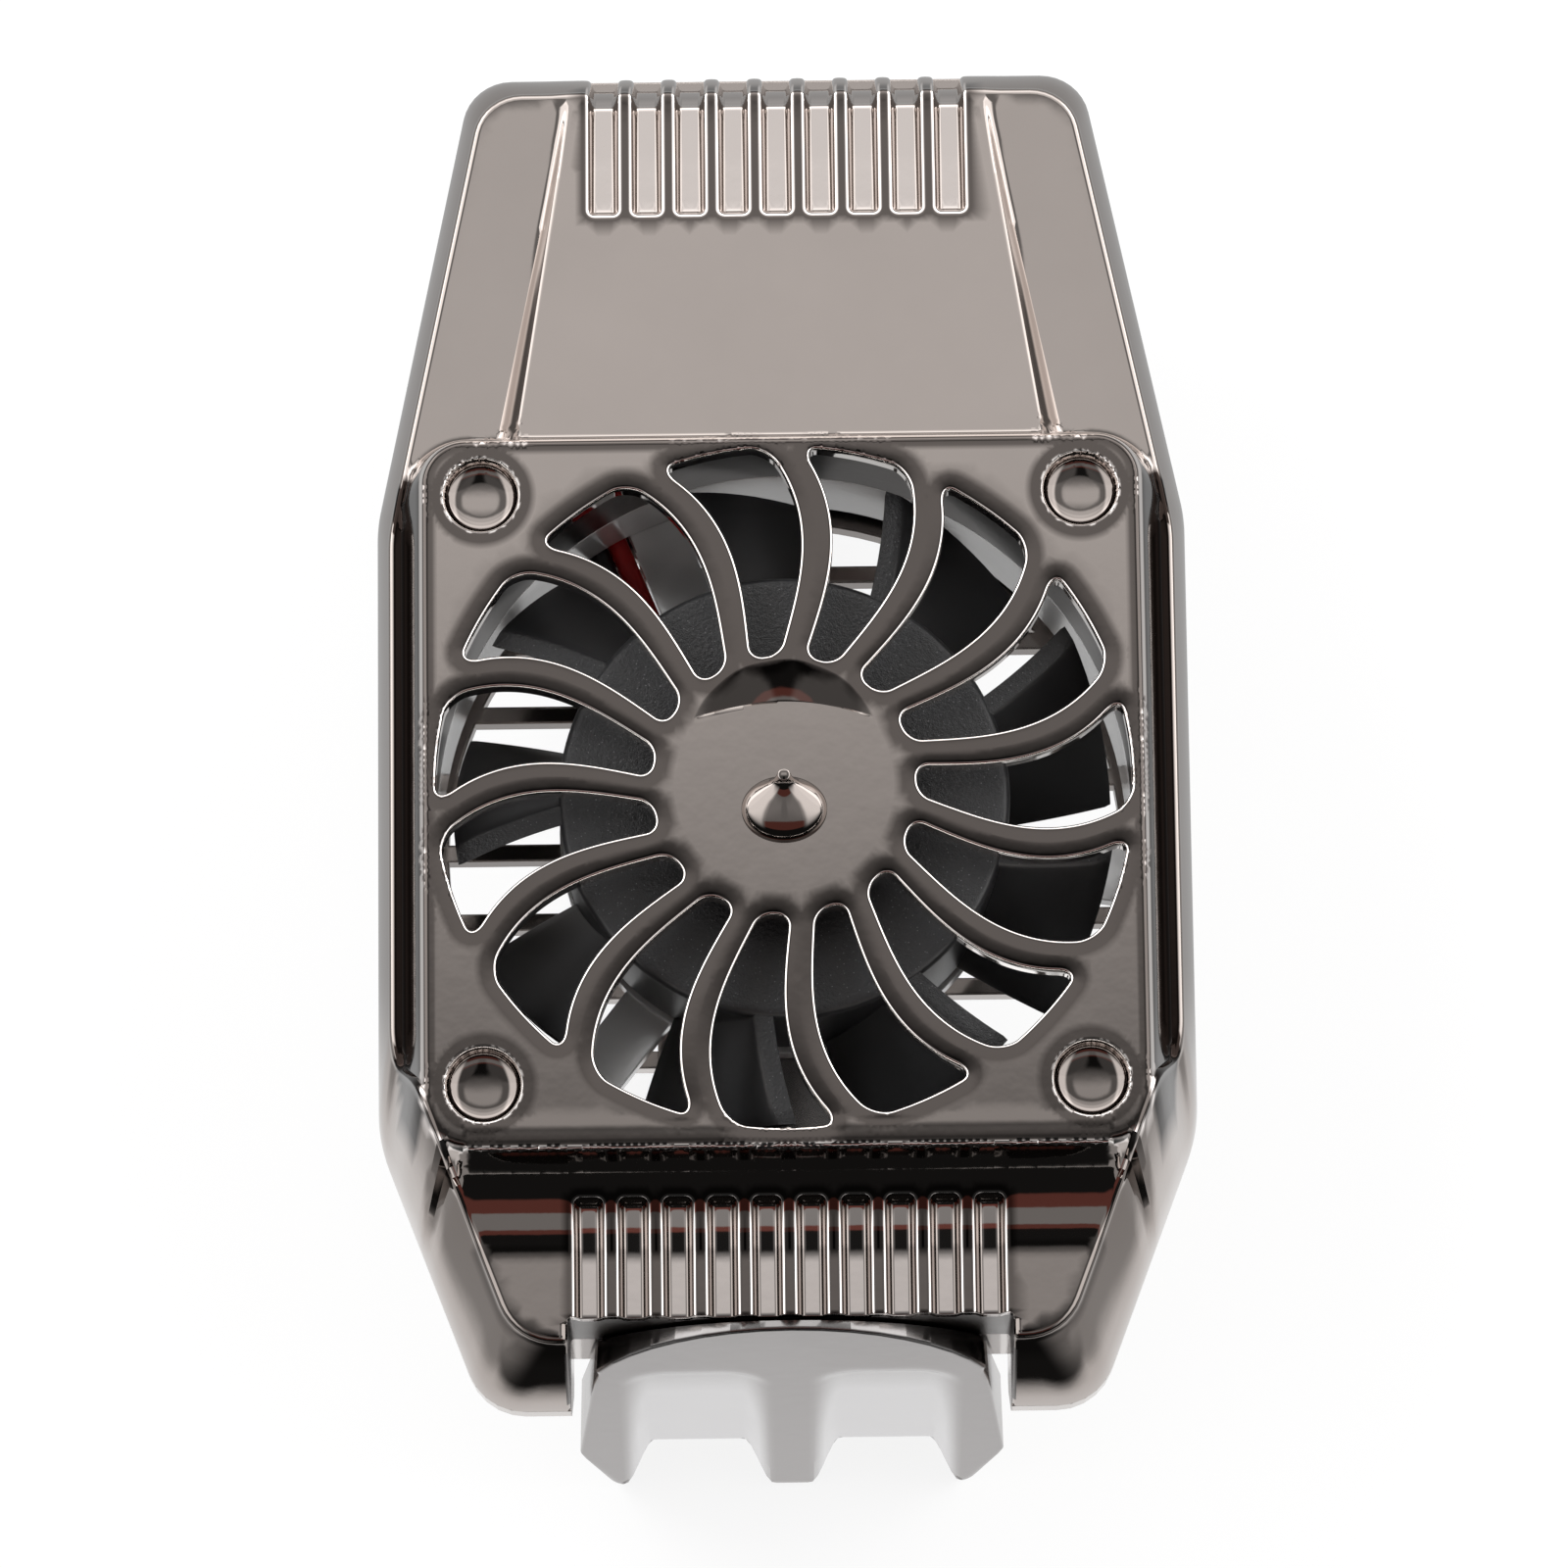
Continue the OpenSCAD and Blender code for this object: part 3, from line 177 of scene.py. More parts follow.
brown = node_of(t, "ShaderNodeBackground", Color=(0.17, 0.05, 0.038, 1))
t.links.new(frame_band, brown.inputs["Strength"])
both = node_of(t, "ShaderNodeAddShader")
t.links.new(sky.outputs[0], both.inputs[0])
t.links.new(brown.outputs[0], both.inputs[1])
plain = node_of(t, "ShaderNodeBackground", Color=(1, 1, 1, 1), Strength=1.0)
blend = node_of(t, "ShaderNodeMixShader")
out = node_of(t, "ShaderNodeOutputWorld")
t.links.new(seen.outputs["Is Camera Ray"], blend.inputs[0])
t.links.new(both.outputs[0], blend.inputs[1])
t.links.new(plain.outputs[0], blend.inputs[2])
t.links.new(blend.outputs[0], out.inputs[0])


def soft_lamp(name, place, aim, size, power):
    lamp = bpy.data.objects.new(name, bpy.data.lights.new(name, "AREA"))
    lamp.data.size = size
    lamp.data.energy = power
    turn = Vector(np.array(aim, float) - place).to_track_quat("-Z", "Y").to_matrix().to_4x4()
    lamp.matrix_world = Matrix.Translation(place) @ turn
    lamp.visible_glossy = False
    scene.collection.objects.link(lamp)


soft_lamp("key_light", (-0.35, 0.25, 0.45), (0, 0, 0.02), 0.25, 2.2)
soft_lamp("fill_light", (0.4, 0.1, 0.3), (0, 0, 0.02), 0.25, 1.4)

# Front cover: one shell moulded in ABS and plated in dark nickel, held to the rear cover by six screws. Its
# square, slots, pocket, dimples, decks and grooves are one skin, with soft edges where the plating runs over.
AXIS_Y = -5.0
SEAM, RIM, TOP, UNDER = 19.0, 25.0, 30.0, 28.6
SQUARE_HALF, SQUARE_ROUND, SQUARE_Y = 19.2, 2.4, -0.15
POST_AT, POST_ROUND = 15.98, 2.0
DUCT_IN, DUCT_OUT, DUCT_END, ROOM_TOP = 18.6, 19.7, 23.1, 23.6
GRILLE_IN, GRILLE_OUT = 5.8, 19.9
PANEL_Y, PANEL_LONG, PANEL_HALF, PANEL_TAPER = 18.6, 21.1, 14.3, 3.1
PANEL_TOP, PANEL_FALL, FOOT_Z, FOOT_HALF, FOOT_TAPER = 28.5, 3.4, 25.1, 16.0, 4.7
ARC_Y, ARC_TOP, ARC_ROUND = -24.6, 31.7, 5.4
CREST_X, CREST_Y, CREST_TAPER, CREST_LONG = 18.5, -16.98, 2.6, 12.42
BOWL_Y, BOWL_ROUND, LIP_Y, LIP_ROUND = 1.7, 5.1, -7.7, 12.2


def outline(points, insets, radii, spans, steps=8):
    """Rounded outline, with its edges moved in, and the same number of points whatever the insets."""
    p = np.array(points, float)
    n = len(p)
    along = np.roll(p, -1, 0) - p
    along /= np.linalg.norm(along, axis=1)[:, None]
    inward = np.stack([-along[:, 1], along[:, 0]], 1)
    foot = p + inward * np.array(insets)[:, None]
    corner = []
    for i in range(n):
        a, b = i - 1, i
        m = np.array([along[a], -along[b]]).T
        corner.append(foot[a] + along[a] * np.linalg.solve(m, foot[b] - foot[a])[0])
    corner = np.array(corner)
    arcs = []
    for i in range(n):
        u = corner[i - 1] - corner[i]
        v = corner[(i + 1) % n] - corner[i]
        u, v = u / np.linalg.norm(u), v / np.linalg.norm(v)
        half = math.acos(max(-1, min(1, u @ v))) / 2
        w = (u + v) / np.linalg.norm(u + v)
        c = corner[i] + w * radii[i] / math.sin(half)
        s, e = corner[i] + u * radii[i] / math.tan(half) - c, corner[i] + v * radii[i] / math.tan(half) - c
        a0, a1 = math.atan2(s[1], s[0]), math.atan2(e[1], e[0])
        turn = (a1 - a0 + 3 * math.pi) % (2 * math.pi) - math.pi
        a = a0 + turn * np.arange(steps + 1) / steps
        arcs.append(c + radii[i] * np.stack([np.cos(a), np.sin(a)], 1))
    ring = []
    for i in range(n):
        a, b = arcs[i][-1], arcs[(i + 1) % n][0]
        ring.append(arcs[i])
        kind, steps_on = spans[i]
        if kind == "even":
            f = np.arange(1, steps_on) / steps_on
            ring.append(a + (b - a) * f[:, None])
        else:
            xs = np.array(steps_on)
            more = np.linspace(a[0], xs[0], 5)[1:-1]
            last = np.linspace(xs[-1], b[0], 5)[1:-1]
            xs = np.concatenate([more, xs, last])
            ring.append(np.stack([xs, a[1] + (b[1] - a[1]) * (xs - a[0]) / (b[0] - a[0])], 1))
    return np.concatenate(ring)


GROOVE_STEPS = np.array([-0.5, -0.42, -0.36, -0.3, -0.25, -0.15, -0.05, 0.0, 0.05, 0.1, 0.18, 0.34])
GROOVE_SHARE = np.array([1.0, 0.995, 0.975, 0.93, 0.86, 0.53, 0.2, 0.1, 0.055, 0.03, 0.012, 0.0])
UPPER = dict(count=9, half=0.825, start=32.5, depth=0.8)
LOWER = dict(count=10, half=0.8, start=-21.6, depth=0.7)
PITCH, GROOVE_ROUND = 2.35, 0.35


def rounded_distance(across, along, r):
    """Distance to an edge with a corner of radius r, from how far a point is past each of its two sides."""
    u, v = across + r, along + r
    return np.hypot(np.maximum(u, 0), np.maximum(v, 0)) + np.minimum(np.maximum(u, v), 0) - r


def groove_distance(x, y, g, sign):
    """Distance to the edge of the nearest groove, negative inside it."""
    last = g["count"] - 1
    c = (np.clip(np.round(x / PITCH + last / 2), 0, last) - last / 2) * PITCH
    return rounded_distance(np.abs(x - c) - g["half"], (g["start"] - y) * sign, GROOVE_ROUND)


def groove_share(x, y, g, sign):
    """How deep a point is in the nearest groove, from 0 on a rib to 1 on the floor."""
    return np.interp(groove_distance(x, y, g, sign), GROOVE_STEPS, GROOVE_SHARE)


def smooth_max(a, b, k):
    h = np.clip(0.5 + 0.5 * (a - b) / k, 0, 1)
    return b * (1 - h) + a * h + k * h * (1 - h)


def smooth_min(a, b, k):
    return -smooth_max(-a, -b, k)


def square_distance(x, y):
    """Distance to the edge of the raised square, negative on it."""
    return rounded_distance(np.abs(x) - SQUARE_HALF, np.abs(y - SQUARE_Y) - SQUARE_HALF, SQUARE_ROUND)


SLOTS, SLOT_IN, SLOT_OUT = 15, 7.05, 18.45
TURN = 360 / SLOTS
VANE, VANE_SPREAD = 1.4, 0.047
IN_ROUND, OUT_ROUND = 0.7, 0.9


def slot_turn(r):
    """Where a slot's middle line stands round the axis, in degrees, at a radius."""
    return 21.35 + 0.185 * (r - 11.8) ** 2


def slot_contour():
    """Outline of the first slot, run round clockwise, about 0.25 mm between points."""
    def half(r):
        return r * math.pi / SLOTS - (VANE + VANE_SPREAD * (r - SLOT_IN)) / 2
    bend = np.radians(np.arange(0, 91, 11.25))
    rise, run = 1 - np.sin(bend), 1 - np.cos(bend)
    straight = np.linspace(SLOT_IN + IN_ROUND, SLOT_OUT - OUT_ROUND, 38)[1:-1]
    r = np.concatenate([SLOT_IN + IN_ROUND * run, straight, SLOT_OUT - OUT_ROUND * rise])
    cut = np.concatenate([IN_ROUND * rise, 0 * straight, OUT_ROUND * run])
    off = half(r) - cut
    ends = []
    for rr, o in ((SLOT_OUT, off[-1]), (SLOT_IN, -off[0])):
        n = max(2, int(2 * abs(o) / 0.28))
        ends.append((np.full(n - 1, rr), np.linspace(o, -o, n + 1)[1:-1]))
    rr = np.concatenate([r, ends[0][0], r[::-1], ends[1][0]])
    oo = np.concatenate([off, ends[0][1], -off[::-1], ends[1][1]])
    a = np.radians(slot_turn(rr)) + oo / rr
    return np.stack([rr * np.cos(a), rr * np.sin(a)], 1)[::-1]


def turned(p, degrees):
    c, s = math.cos(math.radians(degrees)), math.sin(math.radians(degrees))
    return p @ np.array([[c, s], [-s, c]])


SLOT = slot_contour()
SLOT_SET = [turned(SLOT, k * TURN) for k in (-1, 0, 1)]


def slot_distance(x, y):
    """Distance from each point to the nearest slot's edge, negative inside a slot."""
    r = np.hypot(x, y)
    a = np.degrees(np.arctan2(y, x))
    k = np.round((a - slot_turn(np.clip(r, SLOT_IN, SLOT_OUT))) / TURN)
    c, s = np.cos(np.radians(-TURN * k)), np.sin(np.radians(-TURN * k))
    p = np.stack([x * c - y * s, x * s + y * c], 1)
    best, sign = np.full(len(p), 1e9), np.ones(len(p))
    for ring in SLOT_SET:
        a0, b0 = ring, np.roll(ring, -1, 0)
        d = b0 - a0
        for start in range(0, len(p), 4000):
            q = p[start:start + 4000]
            rel = q[:, None, :] - a0[None]
            f = np.clip((rel * d).sum(2) / (d * d).sum(1), 0, 1)
            near = rel - f[..., None] * d
            dist = np.hypot(near[..., 0], near[..., 1])
            i = dist.argmin(1)
            m = dist[np.arange(len(q)), i]
            cross = d[i, 0] * rel[np.arange(len(q)), i, 1] - d[i, 1] * rel[np.arange(len(q)), i, 0]
            better = m < best[start:start + 4000]
            best[start:start + 4000] = np.where(better, m, best[start:start + 4000])
            side = np.where(cross > 0, -1, 1)
            sign[start:start + 4000] = np.where(better, side, sign[start:start + 4000])
    return best * sign


FAR = 9.0


def grille_distance(x, y):
    """Distance to the nearest slot's edge on and beside the grille, and a far one elsewhere."""
    r = np.hypot(x, y)
    near = (r > GRILLE_IN) & (r < GRILLE_OUT)
    d = np.full(len(x), FAR)
    d[near] = slot_distance(x[near], y[near])
    return d


def post_distance(x, y):
    """Distance to the middle of the nearest corner dimple."""
    return np.hypot(np.abs(x) - POST_AT, np.abs(y) - POST_AT)


def pocket_depth(x, y):
    """Depth of the crescent-shaped pocket on the hub, between two arcs."""
    a, b = BOWL_ROUND - np.hypot(x, y - BOWL_Y), np.hypot(x, y - LIP_Y) - LIP_ROUND
    fall = 0.1 * a + 0.055 * a * a
    return np.where(a > 0, fall * np.clip((b + 0.02) / 0.09, 0, 1), 0)


# radius and depth
DIMPLE = np.array([[0, 1.0], [0.8, 0.98], [1.3, 0.92], [1.6, 0.82], [1.78, 0.68], [1.9, 0.48], [1.96, 0.2],
                   [2.0, 0.06], [2.03, 0.02], [2.07, 0.0], [2.25, 0.0], [3.0, 0]])
# height over the face, middle, half width and half length of each oval
SPIKE = np.array([[0, -1.36, 2.24, 1.75], [0.2, -1.37, 2.28, 1.78], [0.5, -1.38, 2.18, 1.7],
                  [0.8, -1.3, 1.95, 1.52], [1.05, -1.13, 1.62, 1.27], [1.3, -0.88, 1.22, 0.98],
                  [1.5, -0.62, 0.88, 0.75], [1.7, -0.38, 0.62, 0.56], [1.9, -0.18, 0.46, 0.44],
                  [2.1, -0.05, 0.38, 0.38], [2.25, 0, 0.33, 0.33]])


def off_spike(x, y):
    """Distance from the foot of the spike, negative inside it."""
    return (np.hypot(x / SPIKE[0, 2], (y - SPIKE[0, 1]) / SPIKE[0, 3]) - 1) * 2


SLOT_ROUND, ROLL_DROP, ROLL_REACH = 0.16, 0.05, 1.15


def cover_height(x, y):
    """Height of the cover's skin, in mm, over points measured from the fan's axis."""
    s = square_distance(x, y)
    square = smooth_min(np.full_like(x, TOP), TOP - s / 0.24, 1.3) - 0.03 * np.clip(1 + s / 1.3, 0, 1) ** 2
    t = np.clip((y - PANEL_Y) / PANEL_LONG, 0, 1)
    half, foot, crest = PANEL_HALF - PANEL_TAPER * t, FOOT_HALF - FOOT_TAPER * t, PANEL_TOP - PANEL_FALL * t
    side = crest - (np.abs(x) - half) * (crest - FOOT_Z) / (0.6 * (foot - half))
    shoulder = np.full_like(x, RIM) + 0.3 * (1 - t)
    upper = smooth_max(smooth_min(crest, side, 0.3), shoulder, 0.7)
    upper = upper - (UPPER["depth"] - 0.028 * (40 - y)) * groove_share(x, y, UPPER, 1)
    share = groove_share(x, y, LOWER, -1)
    radius = ARC_ROUND + LOWER["depth"] * share
    arc = ARC_TOP - np.sqrt(np.maximum(radius ** 2 - np.clip(y - ARC_Y, 0, 5.35) ** 2, 0.01))
    arc = arc + 0.035 * np.maximum(ARC_Y - y, 0)
    lift = np.clip((-17.5 - y) / 3.5, 0, 1)
    base = RIM + 0.3 + 0.8 * lift * lift * (3 - 2 * lift)
    crest_x = CREST_X + (y - CREST_Y) * np.where(y < CREST_Y, CREST_TAPER / CREST_LONG, -6.0)
    lower = smooth_min(arc, base + (crest_x - np.abs(x)) * 4, 0.4)
    lower = np.where(np.abs(x) < 12.2, lower, smooth_max(lower, base, 0.2))
    lower = smooth_min(lower, np.full_like(x, TOP), 0.3)
    deck = np.where(y > 0, upper, lower)
    blend_in = np.interp(y, [-18.6, -16.6], [0.06, 0.7]) * np.clip((s + 1.5) / 0.8, 0.01, 1)
    h = np.where(s > -1.5, smooth_max(square, deck, blend_in), square)
    d = grille_distance(x, y)
    e = np.clip(SLOT_ROUND - d, 0, SLOT_ROUND * 0.97)
    fillet = SLOT_ROUND - np.sqrt(SLOT_ROUND ** 2 - e ** 2)
    drop = fillet + ROLL_DROP * np.clip(1 - d / ROLL_REACH, 0, 1.2) ** 2
    h = h - drop - pocket_depth(x, y)
    rd = post_distance(x, y)
    return np.where(rd < 3.0, h - np.interp(rd, DIMPLE[:, 0], DIMPLE[:, 1]), h)


def ring_around(r, n, at=(0, 0), phase=0.0):
    a = 2 * np.pi * (np.arange(n) + phase) / n
    return np.stack([at[0] + r * np.cos(a), at[1] + r * np.sin(a)], 1)


def inside(p, ring):
    """Which points lie inside a closed outline."""
    a, b = ring, np.roll(ring, -1, 0)
    hit = np.zeros(len(p), bool)
    for (x0, y0), (x1, y1) in zip(a, b):
        if y0 != y1:
            cut = (y0 > p[:, 1]) != (y1 > p[:, 1])
            hit ^= cut & (p[:, 0] < (x1 - x0) * (p[:, 1] - y0) / (y1 - y0) + x0)
    return hit


def groove_lines(g):
    c = (np.arange(g["count"]) - (g["count"] - 1) / 2) * PITCH
    xs = np.concatenate([[k - g["half"] - q, k + g["half"] + q] for k in c for q in GROOVE_STEPS])
    return np.unique(np.round(np.concatenate([xs, c]), 4))


QUARTER = np.radians(np.arange(0, 91, 15))
SIDE = [(16.4, -31.7), (22, -17), (22, 17), (16.8, 42.2)]
NOTCH = [(11.75, -27.8), (11.75, -31.7)]
BODY = SIDE + [(-x, y) for x, y in SIDE[::-1] + NOTCH[::-1]] + NOTCH
ROUNDS = [3.2, 8, 8, 2.7, 2.7, 8, 8, 3.2] + [0.25] * 4
RIM_IN = [2.2, 0.9, 1.3, 2.5, 1.3, 0.9, 2.2, 2.1, 0, 0, 0, 2.1]
up_x, low_x = groove_lines(UPPER), groove_lines(LOWER)
SPANS = [("even", 26), ("even", 60), ("even", 50), ("x", up_x[::-1]), ("even", 50), ("even", 60),
         ("even", 26), ("even", 6), ("even", 8), ("x", low_x), ("even", 8), ("even", 6)]
seam_ring = outline(BODY, [0] * 12, ROUNDS, SPANS)
rim_ring = outline(BODY, RIM_IN, ROUNDS, SPANS)
end_groove = groove_share(seam_ring[:, 0], np.full(len(seam_ring), 38.0), UPPER, 1)
end_groove = end_groove * (seam_ring[:, 1] > 42.1)


def skirt(share):
    p = seam_ring + (rim_ring - seam_ring) * share[:, None] ** 1.5
    p[:, 1] -= 0.62 * end_groove
    return p


lift = np.clip((-17.0 - seam_ring[:, 1]) / 3.5, 0, 1)
reach = 1 + lift * lift * (3 - 2 * lift) / 6
notch = np.linalg.norm(rim_ring - seam_ring, axis=1) < 0.05
inward = np.roll(seam_ring, -1, 0) - np.roll(seam_ring, 1, 0)
inward = np.stack([-inward[:, 1], inward[:, 0]], 1) / np.linalg.norm(inward, axis=1)[:, None]
edge_round = np.where(notch, 0.06, 0.42)
levels = []
for f in (0.0, 0.15, 0.3, 0.5, 0.7, 0.85, 0.92):
    levels.append((skirt(reach * f), f, 0.0))
SHOULDER = 0.96
for a in QUARTER:
    moved = inward * (edge_round * (1 - math.cos(a)))[:, None]
    levels.append((skirt(reach * SHOULDER) + moved, SHOULDER, math.sin(a)))
rim_top = levels[-1][0]
rim_z = cover_height(rim_top[:, 0], rim_top[:, 1])
skirt_points = []
for p, f, s in levels:
    z = SEAM + (rim_z - edge_round - SEAM) * (f / SHOULDER) + edge_round * s
    skirt_points.append(np.column_stack([p, z]))

# points of the skin: along every edge that the skin has, in rows that follow it
rows = []
steps = np.array([0.02, 0.05, 0.09, 0.14, 0.2, 0.3, 0.42, 0.58, 0.78, 1.0, 1.2])
tangent = np.roll(SLOT, -1, 0) - np.roll(SLOT, 1, 0)
outward = np.stack([-tangent[:, 1], tangent[:, 0]], 1) / np.linalg.norm(tangent, axis=1)[:, None]
if slot_distance(*(SLOT + outward * 0.1).T).mean() < 0:
    outward = -outward
for d in steps:
    p = SLOT + outward * d
    keep = slot_distance(p[:, 0], p[:, 1]) > d - 0.004
    p = p[keep & (np.hypot(p[:, 0], p[:, 1]) > 6.5)]
    for k in range(SLOTS):
        rows.append(turned(p, TURN * k))
for r in (3.4, 4.0, 4.6, 5.2, 5.8, 6.3, 6.7):
    p = ring_around(r, 120, phase=0.5 * (round(r * 10) % 2))
    rows.append(p[p[:, 1] < 2.8])
for k in (1.03, 1.07, 1.12, 1.18, 1.26, 1.4, 1.6):
    rows.append(ring_around(1, 96, phase=0.5) * SPIKE[0, 2:] * k + (0, SPIKE[0, 1]))
for d in (-0.12, -0.03, 0.03, 0.12, 0.3, 0.55, 0.85, 1.15, 1.45, 1.75, 2.05, 2.3):
    p = ring_around(BOWL_ROUND - d, 400, (0, BOWL_Y))
    rows.append(p[np.hypot(p[:, 0], p[:, 1] - LIP_Y) > LIP_ROUND + 0.12])
for d in (-0.3, -0.1, -0.02, 0.0, 0.035, 0.07, 0.11):
    p = ring_around(LIP_ROUND + d, 900, (0, LIP_Y))
    rows.append(p[np.hypot(p[:, 0], p[:, 1] - BOWL_Y) < BOWL_ROUND + 0.1])
for sx in (-1, 1):
    for sy in (-1, 1):
        at = (POST_AT * sx, POST_AT * sy)
        for r in (0.45, 0.9, 1.25, 1.5, 1.66, 1.78, 1.86, 1.92, 1.97, 2.01, 2.06, 2.12, 2.2, 2.35, 2.6, 3):
            p = ring_around(r, 12 if r < 0.5 else 24 if r < 1 else 72, at)
            rows.append(p[slot_distance(p[:, 0], p[:, 1]) > 0.5])
        rows.append(np.array([at]))
low, high = SQUARE_Y - SQUARE_HALF, SQUARE_Y + SQUARE_HALF
flat = np.array([(SQUARE_HALF, low), (SQUARE_HALF, high), (-SQUARE_HALF, high), (-SQUARE_HALF, low)])
for d in (-1.5, -1.35, -1.2, -1.05, -0.9, -0.75, -0.62, -0.44, -0.32, -0.22, -0.13, -0.05, 0.02, 0.08, 0.15,
          0.24, 0.34, 0.45, 0.56, 0.68, 0.8, 0.92, 1.02, 1.12, 1.24, 1.4, 1.6):
    p = outline(flat, [-d] * 4, [SQUARE_ROUND + d] * 4, [("even", 90)] * 4, 14)
    rows.append(p[slot_distance(p[:, 0], p[:, 1]) > 0.06] if d < 0 else p)
for g, sign in ((UPPER, 1), (LOWER, -1)):
    for k in range(g["count"]):
        c = (k - (g["count"] - 1) / 2) * PITCH
        end = 40.4 if sign > 0 else 27.75
        length = np.arange(abs(g["start"]) + GROOVE_ROUND, end, 0.33)
        for q in GROOVE_STEPS:
            rr = max(0.02, GROOVE_ROUND + q)
            across, along = g["half"] - GROOVE_ROUND, abs(g["start"]) + GROOVE_ROUND
            bend = np.stack([across + rr * np.sin(QUARTER), along - rr * np.cos(QUARTER)], 1)
            straight = np.stack([np.full(len(length), g["half"] + q), length], 1)
            top = np.stack([np.linspace(0.0, across, 4)[:-1], np.full(3, abs(g["start"]) - q)], 1)
            p = np.concatenate([top, bend, straight])
            p = np.concatenate([p, p * (-1, 1)])
            rows.append(p * (1, sign) + (c, 0))


def slanted_rows(half, taper, start, length, n):
    """A row of points on each side, along an edge that draws in."""
    t = np.linspace(0, 1, n)
    for sx in (-1, 1):
        rows.append(np.stack([sx * (half - taper * t), start + length * t], 1))


for d in (-0.6, -0.3, -0.15, 0.0, 0.15, 0.3):
    slanted_rows(PANEL_HALF + d, PANEL_TAPER, PANEL_Y, PANEL_LONG, 60)
for f in (0.25, 0.5, 0.75, 1.0):
    half, taper = PANEL_HALF + f * (FOOT_HALF - PANEL_HALF), PANEL_TAPER + f * (FOOT_TAPER - PANEL_TAPER)
    slanted_rows(half, taper, PANEL_Y, PANEL_LONG, 60)
for d in (0.2, 0.45, 0.8):
    slanted_rows(FOOT_HALF + d, FOOT_TAPER, PANEL_Y, PANEL_LONG, 60)
for d in (-0.5, -0.25, -0.1, 0.0, 0.1, 0.25, 0.5):
    slanted_rows(CREST_X + d, CREST_TAPER, CREST_Y, -CREST_LONG, 40)
steep, hollow = np.arange(-19.3, -21.6, -0.16), np.arange(-21.6, ARC_Y, -0.25)
for yy in np.concatenate([steep, hollow, [-24.7, -25.0, -25.5]]):
    xs = np.concatenate([np.arange(12.1, 17.5, 0.5), -np.arange(12.1, 17.5, 0.5)])
    rows.append(np.stack([xs, np.full(len(xs), yy)], 1))
    if yy > -21.3:
        xs = np.arange(-12, 12.1, 0.4)
        rows.append(np.stack([xs, np.full(len(xs), yy)], 1))
seeds = np.concatenate(rows)
shrink = rim_top + inward * 0.12
spike_ring = ring_around(1, 96) * SPIKE[0, 2:] + (0, SPIKE[0, 1])
seeds = seeds[inside(seeds, shrink) & (off_spike(*seeds.T) > 0.03) & (grille_distance(*seeds.T) > 0.012)]
seeds = seeds[np.unique(np.round(seeds, 3), axis=0, return_index=True)[1]]


def tree_of(points):
    tree = kdtree.KDTree(len(points))
    for i, p in enumerate(points):
        tree.insert((p[0], p[1], 0), i)
    tree.balance()
    return tree


# thin out points that crowd each other where rows of different edges cross
tree = tree_of(seeds)
gone = np.zeros(len(seeds), bool)
for i, p in enumerate(seeds):
    if not gone[i]:
        for _, j, _ in tree.find_range((p[0], p[1], 0), 0.022):
            if j > i:
                gone[j] = True
seeds = seeds[~gone]
tree = tree_of(seeds)
fill = np.stack(np.meshgrid(np.arange(-21.5, 21.6, 0.62), np.arange(-31.4, 42, 0.62)), -1).reshape(-1, 2)
fill = fill[inside(fill, rim_top + inward * 0.35)]
fill = fill[[tree.find((p[0], p[1], 0))[2] > 0.33 for p in fill]]
fill = fill[(grille_distance(*fill.T) > 0.3) & (off_spike(*fill.T) > 0.5)]


def triangles(outer, holes, *more):
    """Points and triangles of a flat area between outlines, through more points where some are given."""
    edges, base = [], 0
    for loop in [outer] + holes:
        n = len(loop)
        edges += [(base + i, base + (i + 1) % n) for i in range(n)]
        base += n
    points = np.concatenate([outer] + holes + list(more))
    made = geometry.delaunay_2d_cdt([tuple(p) for p in points], edges, [], 0, 1e-6)
    points = np.array([tuple(v) for v in made[0]])
    faces = np.array([f for f in made[2] if len(f) == 3])
    mid = points[faces].mean(1)
    keep = inside(mid, outer)
    for hole in holes:
        keep &= ~inside(mid, hole)
    return points, faces[keep]


slots = [turned(SLOT, TURN * k) for k in range(SLOTS)]
plan, tri = triangles(rim_top, [spike_ring] + slots, seeds, fill)
skin_z = cover_height(plan[:, 0], plan[:, 1])


class Shell:
    """Points and faces of one moulding, in mm from the fan's axis, gathered before they become a mesh."""
    def __init__(self):
        self.points, self.faces = [], []

    def add(self, points, faces):
        base = sum(len(p) for p in self.points)
        self.points.append(np.asarray(points, float))
        self.faces += [tuple(int(i) + base for i in f) for f in faces]

    def loft(self, rings, flip=False):
        n = len(rings[0])
        quads = []
        for k in range(len(rings) - 1):
            for i in range(n):
                j = (i + 1) % n
                q = (k * n + i, k * n + j, (k + 1) * n + j, (k + 1) * n + i)
                quads.append(q[::-1] if flip else q)
        self.add(np.concatenate(rings), quads)

    def object(self, name, body, material):
        p = np.concatenate(self.points) / 1000 + (0, AXIS_Y / 1000, 0)
        mesh = bpy.data.meshes.new(name)
        mesh.from_pydata(p.tolist(), [], self.faces)
        o = bpy.data.objects.new(name, mesh)
        scene.collection.objects.link(o)
        bm = bmesh.new()
        bm.from_mesh(mesh)
        bmesh.ops.remove_doubles(bm, verts=bm.verts, dist=4e-6)
        bmesh.ops.dissolve_degenerate(bm, edges=bm.edges, dist=1e-7)
        bm.to_mesh(mesh)
        bm.free()
        mesh.shade_smooth()
        mesh.set_sharp_from_angle(angle=math.radians(35))
        mesh.materials.append(material)
        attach(o, body)
        return o


def flat_face(outer, holes, z, down):
    """Level face between outlines, turned down or up."""
    p, f = triangles(outer, holes)
    return np.column_stack([p, np.full(len(p), z)]), (f[:, ::-1] if down else f)


